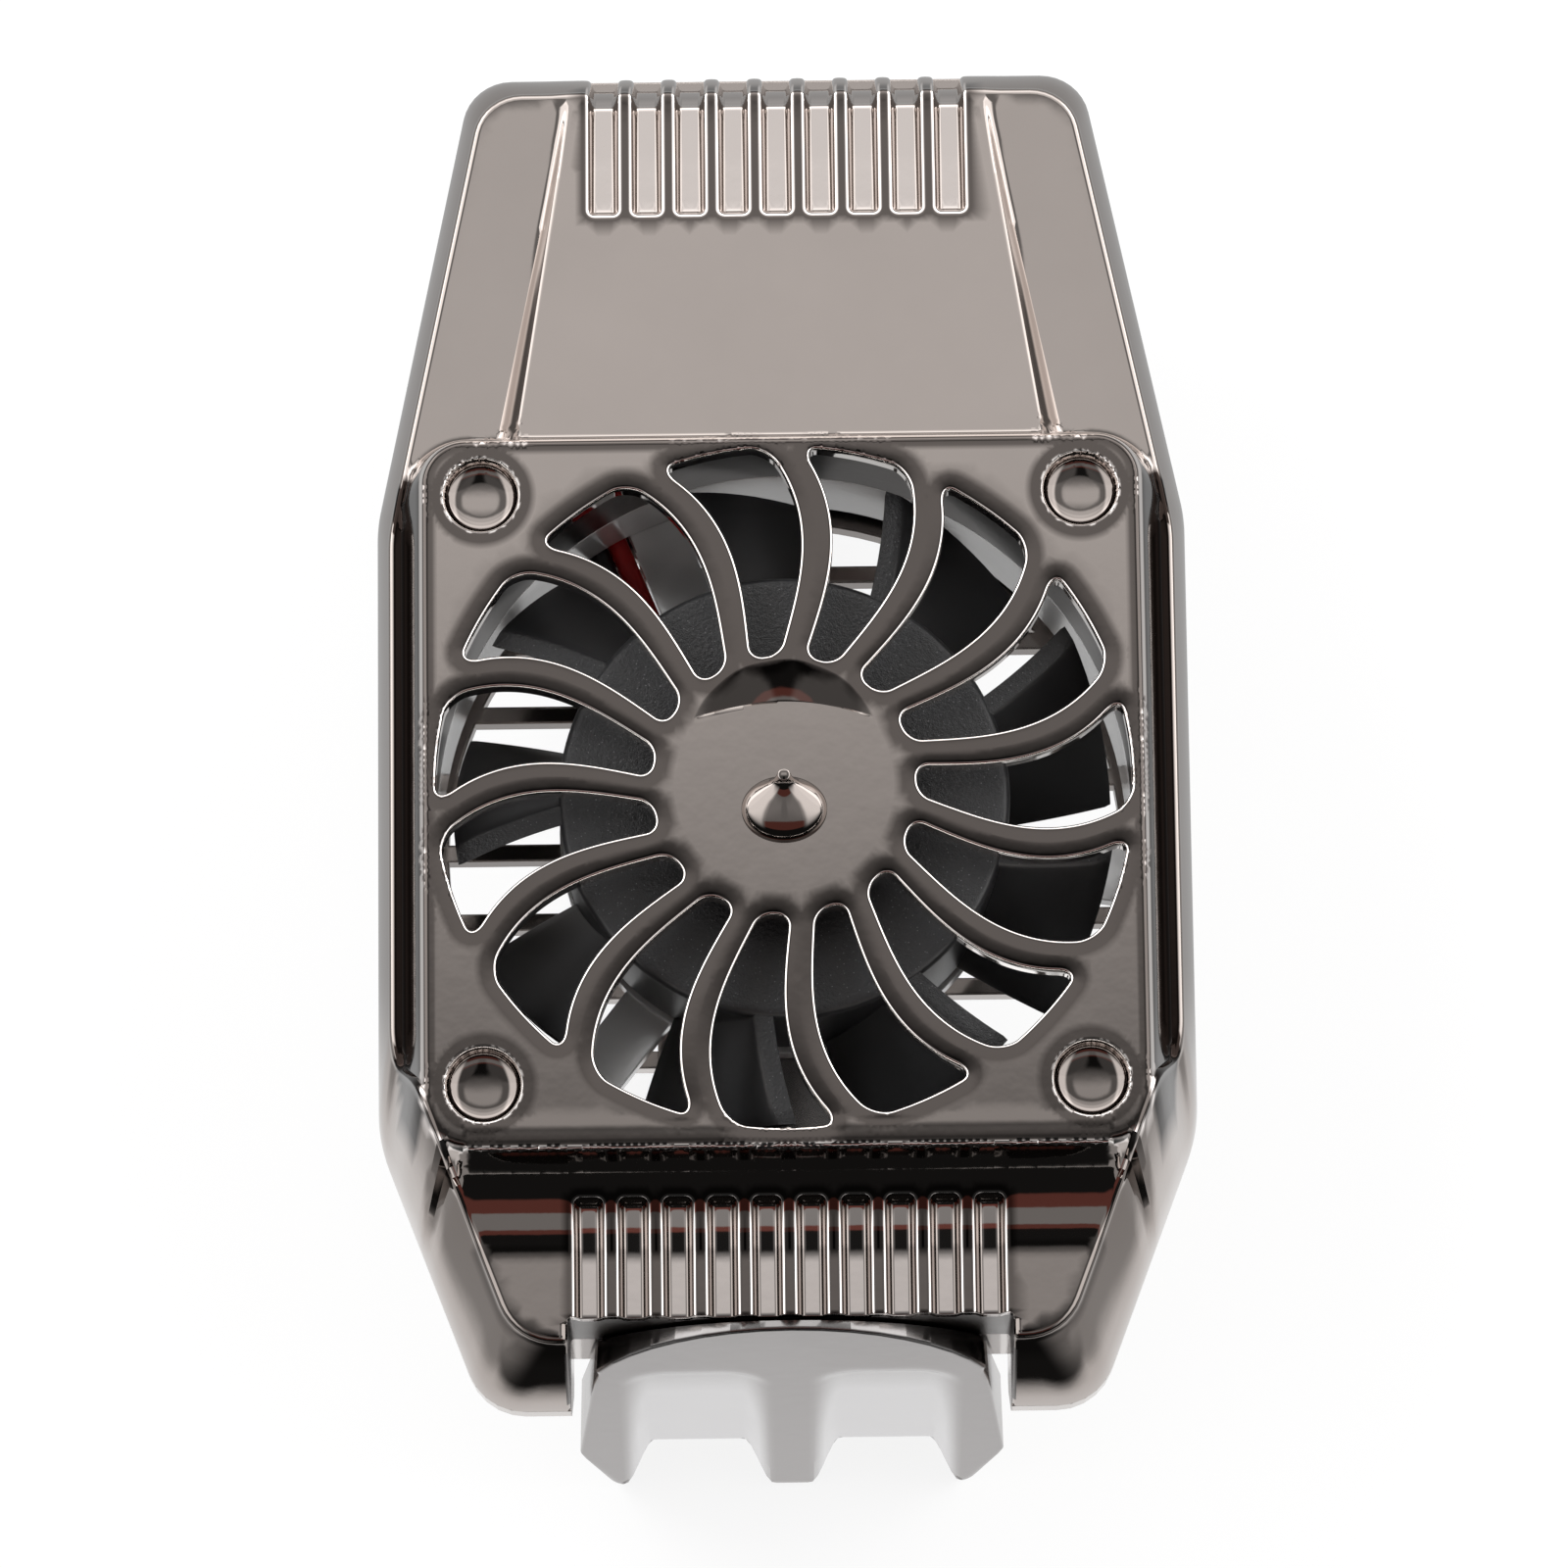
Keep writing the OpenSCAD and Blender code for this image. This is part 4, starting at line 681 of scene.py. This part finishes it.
def varied(t, texture, colour, dark, bright, rough_low, rough_high):
    """Lets a texture lead the tone of a finish between two colours, and its roughness between two values."""
    b = t.nodes["Principled BSDF"]
    b.inputs["Base Color"].default_value = (*colour, 1)
    tone = node_of(t, "ShaderNodeMixRGB", blend_type="MIX")
    tone.inputs[1].default_value = (*[c * dark for c in colour], 1)
    tone.inputs[2].default_value = (*[min(1, c * bright) for c in colour], 1)
    t.links.new(texture.outputs["Fac"], tone.inputs[0])
    t.links.new(tone.outputs[0], b.inputs["Base Color"])
    span = node_of(t, "ShaderNodeMapRange")
    span.inputs["To Min"].default_value = rough_low
    span.inputs["To Max"].default_value = rough_high
    t.links.new(texture.outputs["Fac"], span.inputs["Value"])
    t.links.new(span.outputs["Result"], b.inputs["Roughness"])
    return b, tone


def dented(t, b, texture, strength, edge, samples):
    """Raises a texture on a finish, and rounds its sharp edges by a radius where one is given."""
    dent = node_of(t, "ShaderNodeBump", Strength=strength, Distance=0.0002)
    t.links.new(texture.outputs["Fac"], dent.inputs["Height"])
    if edge:
        soft = node_of(t, "ShaderNodeBevel", Radius=edge, samples=samples)
        t.links.new(soft.outputs[0], dent.inputs["Normal"])
    t.links.new(dent.outputs[0], b.inputs["Normal"])
    return dent


def plating(name, colour, rough, bump=0.02, edge=0.0, with_painted_light=False, metal=1.0):
    """Plating or bare metal: mirror-like, with a little haze, a tone that wanders and a faint ripple."""
    m = bpy.data.materials.new(name)
    m.use_nodes = True
    t = m.node_tree
    place = node_of(t, "ShaderNodeTexCoord")
    haze = node_of(t, "ShaderNodeTexNoise", Scale=140.0, Detail=4.0, Roughness=0.6)
    t.links.new(place.outputs["Object"], haze.inputs["Vector"])
    b, tone = varied(t, haze, colour, 0.94, 1.05, rough * 0.75, rough * 1.3)
    b.inputs["Metallic"].default_value = metal
    if with_painted_light:
        last = tone
        # Painted light: one attribute darkens the colour as painted shade, the other brightens it as painted
        # highlight.
        for name, tint in (("painted_shade", (0.05, 0.04, 0.037, 1)), ("painted_highlight", (2.6, 2.7, 2.8, 1))):
            held = node_of(t, "ShaderNodeAttribute", attribute_name=name)
            over = node_of(t, "ShaderNodeMixRGB", blend_type="MULTIPLY")
            over.inputs[2].default_value = tint
            t.links.new(held.outputs["Fac"], over.inputs[0])
            t.links.new(last.outputs[0], over.inputs[1])
            last = over
        t.links.new(last.outputs[0], b.inputs["Base Color"])
    ripple = node_of(t, "ShaderNodeTexNoise", Scale=900.0, Detail=2.0)
    t.links.new(place.outputs["Object"], ripple.inputs["Vector"])
    dented(t, b, ripple, bump, edge, 6)
    return m


def painted_shade_and_highlight(x, y, z):
    """Painted shade beside the edges and painted highlights along them, as amounts for the plating's colour.
    """
    slot, s, rd = grille_distance(x, y), square_distance(x, y), post_distance(x, y)
    painted_shade, painted_highlight = np.zeros(len(x)), np.zeros(len(x))

    def paint_shade_near(d, reach, width):
        np.maximum(painted_shade, np.clip((reach - d) / width, 0, 1), out=painted_shade)
    face = z > 27.5
    # painted shade beside the slots, inside the square's edge and round the dimples
    paint_shade_near(np.where(face & (slot > 0), slot, FAR), 1.35, 0.5)
    paint_shade_near(np.where(face & (s < 0), -s, FAR), 0.9, 0.3)
    paint_shade_near(np.where((rd > POST_ROUND) & face, rd - POST_ROUND, FAR), 0.9, 0.3)
    # painted highlights along the slots' edges, the square's edge and the dimples' rims
    painted_highlight[face & (slot > -0.1) & (slot < 0.13)] = 1
    painted_highlight[face & (np.abs(s - 0.02) < 0.12)] = 1
    painted_highlight[face & (np.abs(rd - 2.02) < 0.1)] = 1
    # grooves: painted shade on the ribs, a painted highlight along each edge, and floors painted lighter
    for g, sign in ((UPPER, 1), (LOWER, -1)):
        q = np.where(z > 23.5, groove_distance(x, y, g, sign), FAR)
        paint_shade_near(np.where(q > 0, q, FAR), 0.6, 0.25)
        painted_highlight[np.abs(q - 0.1) < 0.07] = 1
        painted_highlight[q < -0.4] = 0.3
    # painted shade on the flat of the lower deck
    panel = (y < -24.0) & (z < 27.4) & (z > 25.2) & (np.abs(x) < 16.8)
    painted_shade[panel] = np.maximum(painted_shade[panel], 0.55)
    # painted shade: the raised square darker towards the bottom
    fade = np.interp(y, [-19, 17], [0.6, 0.05])
    painted_shade = np.where(face & (s < 0), np.maximum(painted_shade, fade), painted_shade) * 0.74
    # painted shade on the dimples' walls
    painted_shade[(rd > 1.3) & (rd < 1.93)] = 0.4
    # painted shade: the steep side walls beside the square nearly black, with no highlight
    wall = (np.abs(x) > 19.3) & (np.abs(x) < 20.9) & (y > -18.5) & (y < 18) & (z > 25)
    painted_shade[wall] = 1
    painted_highlight[wall] = 0
    return np.clip(painted_shade - painted_highlight, 0, 1), painted_highlight


gunmetal = plating("gunmetal_plating", (0.40, 0.355, 0.33), 0.05, 0.02, with_painted_light=True)
cover = Shell()
cover.add(np.column_stack([plan, skin_z]), tri)
cover.loft(skirt_points)
ovals = SPIKE
for _ in range(2):
    near, far = ovals[:-1] * 0.75 + ovals[1:] * 0.25, ovals[:-1] * 0.25 + ovals[1:] * 0.75
    ovals = np.concatenate([ovals[:1], np.stack([near, far], 1).reshape(-1, 4), ovals[-1:]])
tip = ovals[-1]
cap = [tip + (0.03, 0, -0.03, -0.03), tip + (0.05, 0, -0.08, -0.08), tip + (0.05, 0, -0.32, -0.32)]
ovals = np.concatenate([ovals, cap])
rings = [np.column_stack([spike_ring, cover_height(spike_ring[:, 0], spike_ring[:, 1])])]
for up, mid_y, rx, ry in ovals[1:]:
    rings.append(np.column_stack([ring_around(1, 96) * (rx, ry) + (0, mid_y), np.full(96, TOP + up)]))
cover.loft(rings)
for p in slots:
    z = cover_height(p[:, 0], p[:, 1])
    cover.loft([np.column_stack([p, z]), np.column_stack([p, z * 0.6 + UNDER * 0.4]),
                np.column_stack([p, np.full(len(p), UNDER)])])
duct_in, duct_out = ring_around(DUCT_IN, 180), ring_around(DUCT_OUT, 180)
cover.add(*flat_face(duct_in, slots, UNDER, True))
cover.loft([np.column_stack([duct_in, np.full(180, z)]) for z in (UNDER, 26.5, 24.5, DUCT_END)])
cover.loft([np.column_stack([duct_in, np.full(180, DUCT_END)]),
            np.column_stack([duct_out, np.full(180, DUCT_END)]),
            np.column_stack([duct_out, np.full(180, ROOM_TOP)])])
ROOM_ROUNDS = [2, 7, 7, 2] * 2 + [0.3] * 4
inner = outline(BODY, [1.2, 1.2, 1.2, 2.1, 1.2, 1.2, 1.2, 1.8, 1.2, 1.2, 1.2, 1.8], ROOM_ROUNDS, SPANS)
top_inner = outline(BODY, [2.9, 1.9, 2.2, 3.4, 2.2, 1.9, 2.9, 3.2, 1.2, 1.2, 1.2, 3.2], ROOM_ROUNDS, SPANS)
cover.loft([skirt_points[0], np.column_stack([inner, np.full(len(inner), SEAM)]),
            np.column_stack([top_inner, np.full(len(inner), ROOM_TOP)])], flip=True)
cover.add(*flat_face(top_inner, [duct_out], ROOM_TOP, True))
front = cover.object("front_cover_shell", "housing", gunmetal)
place = np.array([v.co[:] for v in front.data.vertices]) * 1000
# Painted light: the shade and highlight amounts of every point go into two attributes that the plating
# multiplies into its colour.
painted_amounts = painted_shade_and_highlight(place[:, 0], place[:, 1] - AXIS_Y, place[:, 2])
for name, values in zip(("painted_shade", "painted_highlight"), painted_amounts):
    front.data.attributes.new(name, "FLOAT", "POINT").data.foreach_set("value", values)
# Painted shade: the duct's inner wall and the walls of the notch beside the jaw take a much darker plating
# than the rest of the shell.
duct_wall = plating("duct_wall", (0.13, 0.12, 0.115), 0.3, 0.05)
front.data.materials.append(duct_wall)
for face in front.data.polygons:
    m = place[list(face.vertices)].mean(0)
    m[1] -= AXIS_Y
    duct = DUCT_IN - 0.15 < math.hypot(m[0], m[1]) < DUCT_IN + 0.01 and m[2] < UNDER - 0.01
    notch_side = 11.6 < abs(m[0]) < 11.95 and -31.5 < m[1] < -27.7
    notch_end = abs(m[0]) < 11.8 and -28.0 < m[1] < -27.6
    if duct or (notch_side or notch_end) and m[2] < RIM + 0.1:
        face.material_index = 1
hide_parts("front_cover")

# Rear cover: the plated shell under the seam, with the bars behind the fan. It carries the motor, the battery
# and the rails of the jaw, and is moulded in one. The hook is a plated moulding screwed on behind it.
rear_plating = plating("rear_plating", (0.42, 0.375, 0.35), 0.14, 0.03, 0.0002)
for name in ("rear_cover", "fixed_hook"):
    nodes[name].data.materials.clear()
    nodes[name].data.materials.append(rear_plating)

# Sliding jaw: one moulding with a satin plated face, two hollow flutes and three prongs. Its plate and
# tongue run on rails in the rear cover, and its T-shaped head pulls two springs.
JAW_BACK, CROWN, CROWN_ROUND = 28.0, 25.8, 11.57
JAW_LEAN = 4.7 / CROWN
FLUTE_X, FLUTE_HALF, FLUTE_ROUND, FLUTE_TOP, FLUTE_DEEP = 5.15, 3.85, 2.6, 19.4, 2.45
turns = [math.radians(a) for a in range(26, 155, 8)]
arch = [(CROWN_ROUND * math.cos(a), CROWN - CROWN_ROUND + CROWN_ROUND * math.sin(a)) for a in turns]
side_up = [(10, 0), (11.6, 5.8), (10.6, 17.3), (10.35, 18.7)]
JAW = side_up + arch + [(-x, z) for x, z in side_up[::-1]]
JAW_ROUNDS = [1.2, 0.8, 0.5, 0.3] + [0.2] * len(arch) + [0.3, 0.5, 0.8, 1.2]
JAW_SPANS = [("even", 14), ("even", 26), ("even", 3), ("even", 2)] + [("even", 5)] * (len(arch) - 1)
JAW_SPANS += [("even", 2), ("even", 3), ("even", 26), ("even", 14), ("even", 64)]


def jaw_ring(inset):
    return outline(JAW, [inset] * len(JAW), [max(0.05, k - inset) for k in JAW_ROUNDS], JAW_SPANS, 3)


def edge_distance(p, ring):
    a, b = ring, np.roll(ring, -1, 0)
    rel, d = p[:, None, :] - a[None], b - a
    f = np.clip((rel * d).sum(2) / (d * d).sum(1), 0, 1)
    return np.linalg.norm(rel - f[..., None] * d, axis=2).min(1)


def jaw_face(p):
    """How far the face stands out in front, over points across and up it."""
    x, z = p[:, 0], p[:, 1]
    q = rounded_distance(np.abs(np.abs(x) - FLUTE_X) - FLUTE_HALF, z - FLUTE_TOP, FLUTE_ROUND)
    f = np.clip((0.3 - q) / 1.7, 0, 1)
    top = FLUTE_TOP + 0.4
    hollow = FLUTE_DEEP * np.clip(1 - z / top, 0, 1) + 0.12 * np.clip((top - z) / 2, 0, 1)
    out = JAW_BACK + 0.5 + JAW_LEAN * (CROWN - z) - hollow * f * f * (3 - 2 * f)
    e = edge_distance(p, jaw_ring(0))
    bend = 0.22 + 0.6 * np.clip(1 - z / 5, 0, 1)
    e = np.clip(bend - e, 0, 0.985 * bend)
    return out - (bend - np.sqrt(bend ** 2 - e ** 2))


ring = jaw_ring(0)
rows = [jaw_ring(d) for d in (0.012, 0.03, 0.06, 0.1, 0.15, 0.21, 0.29, 0.4, 0.55, 0.75)]
grid = np.stack(np.meshgrid(np.arange(-11.4, 11.41, 0.3), np.arange(0.3, 25.6, 0.33)), -1).reshape(-1, 2)
grid = grid[inside(grid, jaw_ring(0.9))]
p, tri = triangles(ring, [], *rows, grid)
jaw = Shell()
jaw.add(np.column_stack([p[:, 0], -jaw_face(p), p[:, 1]]), tri)
front_edge = np.column_stack([ring[:, 0], -jaw_face(ring), ring[:, 1]])
back = jaw_ring(0.1)
low = np.clip(1 - ring[:, 1] / 2, 0, 1)[:, None]
back = back * (1 - low) + ring * low
jaw.loft([front_edge, np.column_stack([back[:, 0], np.full(len(ring), -JAW_BACK), back[:, 1]])], flip=True)
jaw.add(np.column_stack([back[:, 0], np.full(len(ring), -JAW_BACK), back[:, 1]]), [range(len(ring))])


def slab(shell, x, y, z, bevel=0.15):
    """Plate with all its edges broken."""
    box = np.array([(x[0], y[0]), (x[1], y[0]), (x[1], y[1]), (x[0], y[1])])
    rings = []
    for inset, at in ((bevel, z[0]), (0.3 * bevel, z[0] + 0.3 * bevel), (0, z[0] + bevel), (0, z[1] - bevel),
                      (0.3 * bevel, z[1] - 0.3 * bevel), (bevel, z[1])):
        p = outline(box, [inset] * 4, [bevel * 1.6] * 4, [("even", 1)] * 4, 4)
        rings.append(np.column_stack([p, np.full(len(p), at)]))
    n = len(rings[0])
    shell.loft(rings)
    shell.add(rings[0], [range(n)[::-1]])
    shell.add(rings[-1], [range(n)])


slab(jaw, (-9.5, 9.5), (-28.1, -26.2), (0, 1.6))
slab(jaw, (-10.2, 10.2), (-28.1, -19.8), (14, 16))
slab(jaw, (-3.4, 3.4), (-19.9, 8), (14, 16))
slab(jaw, (-6.2, 6.2), (6, 8), (14, 16))
satin = plating("satin_plating", (0.34, 0.325, 0.32), 0.24, 0.05, with_painted_light=True)
jaw = jaw.object("jaw_moulding", "jaw", satin)
place = np.array([v.co[:] for v in jaw.data.vertices]) * 1000
# Painted highlight: the flutes are painted lighter towards their hollows, and the shade attribute stays
# empty.
plain_face = JAW_BACK + 0.5 + JAW_LEAN * (CROWN - place[:, 2])
flute_highlight = np.clip((plain_face + place[:, 1] - AXIS_Y) / 0.9, 0, 1)
flute_highlight[(place[:, 1] - AXIS_Y > -JAW_BACK - 0.2) | (place[:, 2] > 19.9)] = 0
flute_highlight *= np.clip((10.2 - np.abs(place[:, 0])) / 0.6, 0, 1)
jaw.data.attributes.new("painted_highlight", "FLOAT", "POINT").data.foreach_set("value", flute_highlight * 0.45)
jaw.data.attributes.new("painted_shade", "FLOAT", "POINT").data.foreach_set("value", np.zeros(len(place)))
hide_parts("clip_jaw")

# Fan frame: a bright plated moulding that carries the motor and its bearing on three spokes. The wires run
# along the upper one. Its ring shows as a joint inside the duct, and its mesh is the one of the CAD model.
silver = plating("silver_plating", (0.97, 0.96, 0.95), 0.15, 0.05, 0.00015, metal=0.35)
nodes["fan_frame"].data.materials.clear()
nodes["fan_frame"].data.materials.append(silver)


# Rotor: a hub and nine pitched blades moulded in one piece of black plastic, pressed onto the steel ring and
# the shaft. Its top and the blades' upper edges keep a spark-eroded grain, and their faces are smoother.
def moulded(name, colour, rough, grain=600.0, bump=0.1, edge=0.00012, painted_glints=0.0):
    """Moulded plastic or rubber with a fine grain, and painted glints: bright specks in the colour of upward
    faces.
    """
    m = bpy.data.materials.new(name)
    m.use_nodes = True
    t = m.node_tree
    place = node_of(t, "ShaderNodeTexCoord")
    speck = node_of(t, "ShaderNodeTexNoise", Scale=grain, Detail=3.0, Roughness=0.7)
    t.links.new(place.outputs["Object"], speck.inputs["Vector"])
    b, tone = varied(t, speck, colour, 0.8, 1.2, rough * 0.85, min(1.0, rough * 1.15))
    dent = dented(t, b, speck, bump, edge, 4)
    if painted_glints:
        level_face = node_of(t, "ShaderNodeNewGeometry")
        parts = node_of(t, "ShaderNodeSeparateXYZ")
        t.links.new(level_face.outputs["Normal"], parts.inputs[0])
        upward = soft_step(t, parts.outputs[2], 0.8, 0.95)
        t.links.new(sum_of(t, "MULTIPLY", upward, bump), dent.inputs["Strength"])
        # Painted glints: bright specks added to the colour on upward faces, where the grain would catch the
        # light.
        glint = node_of(t, "ShaderNodeTexVoronoi", Scale=4200.0)
        t.links.new(place.outputs["Object"], glint.inputs["Vector"])
        lit = sum_of(t, "MULTIPLY", soft_step(t, glint.outputs["Distance"], 0.16, 0.02), painted_glints)
        lit = sum_of(t, "MULTIPLY", lit, upward)
        lift = node_of(t, "ShaderNodeMixRGB", blend_type="ADD")
        lift.inputs[2].default_value = (0.35, 0.35, 0.36, 1)
        t.links.new(lit, lift.inputs[0])
        t.links.new(tone.outputs[0], lift.inputs[1])
        t.links.new(lift.outputs[0], b.inputs["Base Color"])
    return m


HUB_R, HUB_TOP, HUB_ROUND, HUB_SIDES = 12.05, 27.0, 0.55, 144
ROTOR_Z, BLADES, BLADE_TIP, BLADE_H, BLADE_THICK = 18.9, 9, 17.7, 7.8, 1.15
rotor = Shell()
profile = [(0.15, 26.6), (0.76, 26.6), (0.76, 24.7), (0.86, 24.6), (2.15, 24.6), (2.25, 24.7), (2.25, 25.8),
           (10.8, 25.8), (10.9, 25.7), (10.9, 19.0), (11.0, 18.9), (11.95, 18.9), (HUB_R, 19.0)]
for a in QUARTER:
    profile.append((HUB_R - HUB_ROUND * (1 - math.cos(a)), HUB_TOP - HUB_ROUND * (1 - math.sin(a))))
profile += [(11.2, HUB_TOP), (9, HUB_TOP), (4, HUB_TOP), (0.15, HUB_TOP)]
rings = [np.column_stack([ring_around(rr, HUB_SIDES), np.full(HUB_SIDES, zz)]) for rr, zz in profile]
rotor.loft(rings)
rotor.add(rings[0], [range(HUB_SIDES)[::-1]])
rotor.add(rings[-1], [range(HUB_SIDES)])
# outline of a blade: how far up it a point is, from 0 to 1, and on which of its two faces, -1 or 1
section = [(0.0, 0.9), (0.02, 1.0)] + [(k / 9, 1.0) for k in range(1, 9)]
section += [(0.97, 1.0), (0.99, 0.93), (1.0, 0.8), (1.0, 0.3)]
section = [(0.0, -0.9)] + section + [(v, -w) for v, w in section[:0:-1]]
for blade in range(BLADES):
    rings = []
    for rr in list(np.linspace(HUB_R - 0.4, 17.4, 11)) + [17.58, 17.67, BLADE_TIP]:
        u = (rr - HUB_R + 0.4) / (BLADE_TIP - HUB_R + 0.4)
        slim = 1 - 0.12 * max(0, rr - 17.4) / 0.3
        pts = []
        for v, w in section:
            a = (2 + 3 * u) * (1 - v) + (24 + 6 * u) * v
            a = math.radians(a + 360 / BLADES * blade) + w * slim * BLADE_THICK / 2 / rr
            up = 0.5 + (v - 0.5) * (1 - 0.02 * (rr > 17.5))
            pts.append((rr * math.cos(a), rr * math.sin(a), ROTOR_Z + 0.1 + up * BLADE_H))
        rings.append(np.array(pts))
    rotor.loft(rings, flip=True)
    rotor.add(rings[0], [range(len(section))])
    rotor.add(rings[-1], [range(len(section))[::-1]])
# The rotor's upward faces get painted glints: bright specks added to its black colour.
black_grain = moulded("textured_black", (0.02, 0.02, 0.021), 0.36, 5200.0, 0.5, 0, painted_glints=0.5)
rotor = rotor.object("rotor_moulding", "rotor", black_grain)
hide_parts("fan_rotor")

# Everything inside, and the pads and screws: motor, boards, socket, switch, battery and retainer. Each keeps
# the mesh of the CAD model and takes the finish of its material: metal, plastic, rubber, foil or solder mask.
steel = plating("steel", (0.58, 0.58, 0.6), 0.25, 0.1)
finishes = {
    "black_plastic": moulded("plain_black", (0.02, 0.02, 0.022), 0.45, 2000.0, 0.1),
    "white_nylon": moulded("white_nylon", (0.75, 0.74, 0.69), 0.5),
    "steel": steel,
    "bonded_ferrite": moulded("bonded_ferrite", (0.06, 0.06, 0.065), 0.7, 3000.0, 0.3),
    "bronze": plating("sintered_bronze", (0.55, 0.38, 0.18), 0.4, 0.3),
    "enamelled_copper": plating("enamelled_copper", (0.6, 0.25, 0.1), 0.3, 0.2),
    "green_board": moulded("green_board", (0.03, 0.15, 0.07), 0.3),
    "red_insulation": moulded("red_insulation", (0.6, 0.02, 0.02), 0.4, 800.0, 0.05),
    "black_insulation": moulded("black_insulation", (0.015, 0.015, 0.015), 0.4, 800.0, 0.05),
    "cell_foil": plating("cell_foil", (0.6, 0.61, 0.63), 0.3, 0.3),
    "black_rubber": moulded("black_rubber", (0.02, 0.02, 0.02), 0.8, 3000.0, 0.3),
    "dark_screws": plating("dark_screws", (0.1, 0.1, 0.105), 0.3, 0.1),
}
for part in frame["record"]["subparts"]:
    finish = finishes.get(part["material_slot"])
    if finish and part["node"] in nodes:
        nodes[part["node"]].data.materials.clear()
        nodes[part["node"]].data.materials.append(finish)


# Wires, leads, springs and coils: strands in soft insulation from board to board, two wound steel springs
# that draw the jaw in and stretch with it, and four windings of enamelled copper in three layers.
def smooth_path(points, steps=6):
    p = np.array(points, float)
    q = np.concatenate([[2 * p[0] - p[1]], p, [2 * p[-1] - p[-2]]])
    out = []
    for i in range(1, len(q) - 2):
        for f in np.arange(steps) / steps:
            a, b, c, d = q[i - 1:i + 3]
            out.append(0.5 * (2 * b + (c - a) * f + (2 * a - 5 * b + 4 * c - d) * f * f
                              + (3 * b - a - 3 * c + d) * f ** 3))
    return np.array(out + [p[-1]])


def strand(shell, path, r, side, sides=12):
    """Round strand along a path, with closed ends."""
    along = np.gradient(path, axis=0)
    along /= np.linalg.norm(along, axis=1)[:, None]
    u = np.cross(along, side)
    u /= np.linalg.norm(u, axis=1)[:, None]
    v = np.cross(along, u)
    a = 2 * np.pi * np.arange(sides) / sides
    c, q = np.cos(a)[None, :, None], np.sin(a)[None, :, None]
    rings = path[:, None] + r * (c * u[:, None] + q * v[:, None])
    shell.loft(list(rings))
    shell.add(rings[0], [range(sides)[::-1]])
    shell.add(rings[-1], [range(sides)])


SPOKE_TURN = math.radians(112)


def wire_start(side):
    """Start of a wire, from under the motor board along the upper spoke."""
    c, q = math.cos(SPOKE_TURN), math.sin(SPOKE_TURN)
    stations = [(7.7, 18.2), (7.7, 17.9), (8.3, 17.25), (9.3, 17.2), (14, 17.2), (20.3, 17.2)]
    return [(r * c - side * q, r * q + side * c, z) for r, z in stations]


OVER, WIRE_R, LEAD_R = 20.25, 0.55, 0.3
routes = {
    "red_wire": (2.1, [(-9.4, 19.4, 17.6), (-9.6, 20.4, 19.4), (-9.1, 21.6, OVER), (-7.8, 23.6, OVER + 0.1),
                       (-5.1, 27, OVER + 0.1), (-2.6, 30.4, OVER + 0.1), (-1.1, 32.6, OVER - 0.3),
                       (-0.5, 33.9, OVER - 1.6), (-0.3, 34.6, 16.2), (-0.3, 34.6, 15.0)]),
    "black_wire": (3.25, [(-10.6, 19, 17.6), (-10.9, 20.2, 19.4), (-10.4, 21.8, OVER),
                          (-9.2, 23.9, OVER + 0.1), (-6.5, 27.3, OVER + 0.1), (-4, 30.7, OVER + 0.1),
                          (-2.4, 32.8, OVER - 0.3), (-1.75, 33.9, OVER - 1.6), (-1.6, 34.6, 16.2),
                          (-1.6, 34.6, 15.0)]),
}
for name, (side, rest) in routes.items():
    insulation = name.replace("wire", "insulation")
    wire = Shell()
    strand(wire, smooth_path(wire_start(side) + rest), WIRE_R, (1, 0.4, 0))
    wire = wire.object(name + "_strand", "housing", finishes[insulation])
    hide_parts(name)
leads = Shell()
for x in (-7.2, -5.6):
    route = [(x, 32.6, 16.8), (x, 33.05, 16.77), (x, 33.45, 16.4), (x, 33.6, 15.45), (x, 33.62, 15.0)]
    strand(leads, smooth_path(route), LEAD_R, (1, 0, 0))
leads = leads.object("battery_lead_strands", "housing", finishes["red_insulation"])
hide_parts("battery_leads")

SPRING_X, SPRING_Y, SPRING_Z, SPRING_LONG = 4.9, -17.83, 14.9, 23.66
COIL_R, SPRING_WIRE, TURNS = 1.03, 0.17, 14
springs = Shell()
a = np.linspace(0, 2 * np.pi * TURNS, TURNS * 28 + 1)
for x in (-SPRING_X, SPRING_X):
    y, z = SPRING_Y + SPRING_LONG * a / a[-1], SPRING_Z + COIL_R * np.sin(a)
    strand(springs, np.stack([x + COIL_R * np.cos(a), y, z], 1), SPRING_WIRE, (0, 1, 0), 10)
springs = springs.object("spring_wires", "housing", steel)
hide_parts("return_springs")
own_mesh(springs)

COIL_IN, COIL_LONG, COIL_Z, COIL_WIRE, STEPS = 5.2, 1.7, 21.8, 0.125, 16
# half width, half height and number of turns of each layer
LAYERS = ((1.48, 2.28, 7), (1.76, 2.56, 6), (2.04, 2.84, 7))
coils = Shell()
for turn in (0, 90, 180, 270):
    path = []
    for layer, (w, h, n) in enumerate(LAYERS):
        for k in range(n * STEPS):
            f = k / STEPS / n
            at = COIL_IN + COIL_LONG * (f if layer % 2 == 0 else 1 - f)
            b = 2 * math.pi * k / STEPS
            c, q = math.cos(b), math.sin(b)
            c, q = math.copysign(abs(c) ** 0.45, c), math.copysign(abs(q) ** 0.45, q)
            path.append((at, w * c, COIL_Z + h * q))
    path = np.array(path)
    path[:, :2] = turned(path[:, :2], turn)
    side = turned(np.array([[1.0, 0.0]]), turn)[0]
    strand(coils, path, COIL_WIRE, (*side, 0.0), 6)
coils = coils.object("coil_wires", "housing", finishes["enamelled_copper"])
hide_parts("coil_windings")

scene.view_settings.view_transform = "Standard"
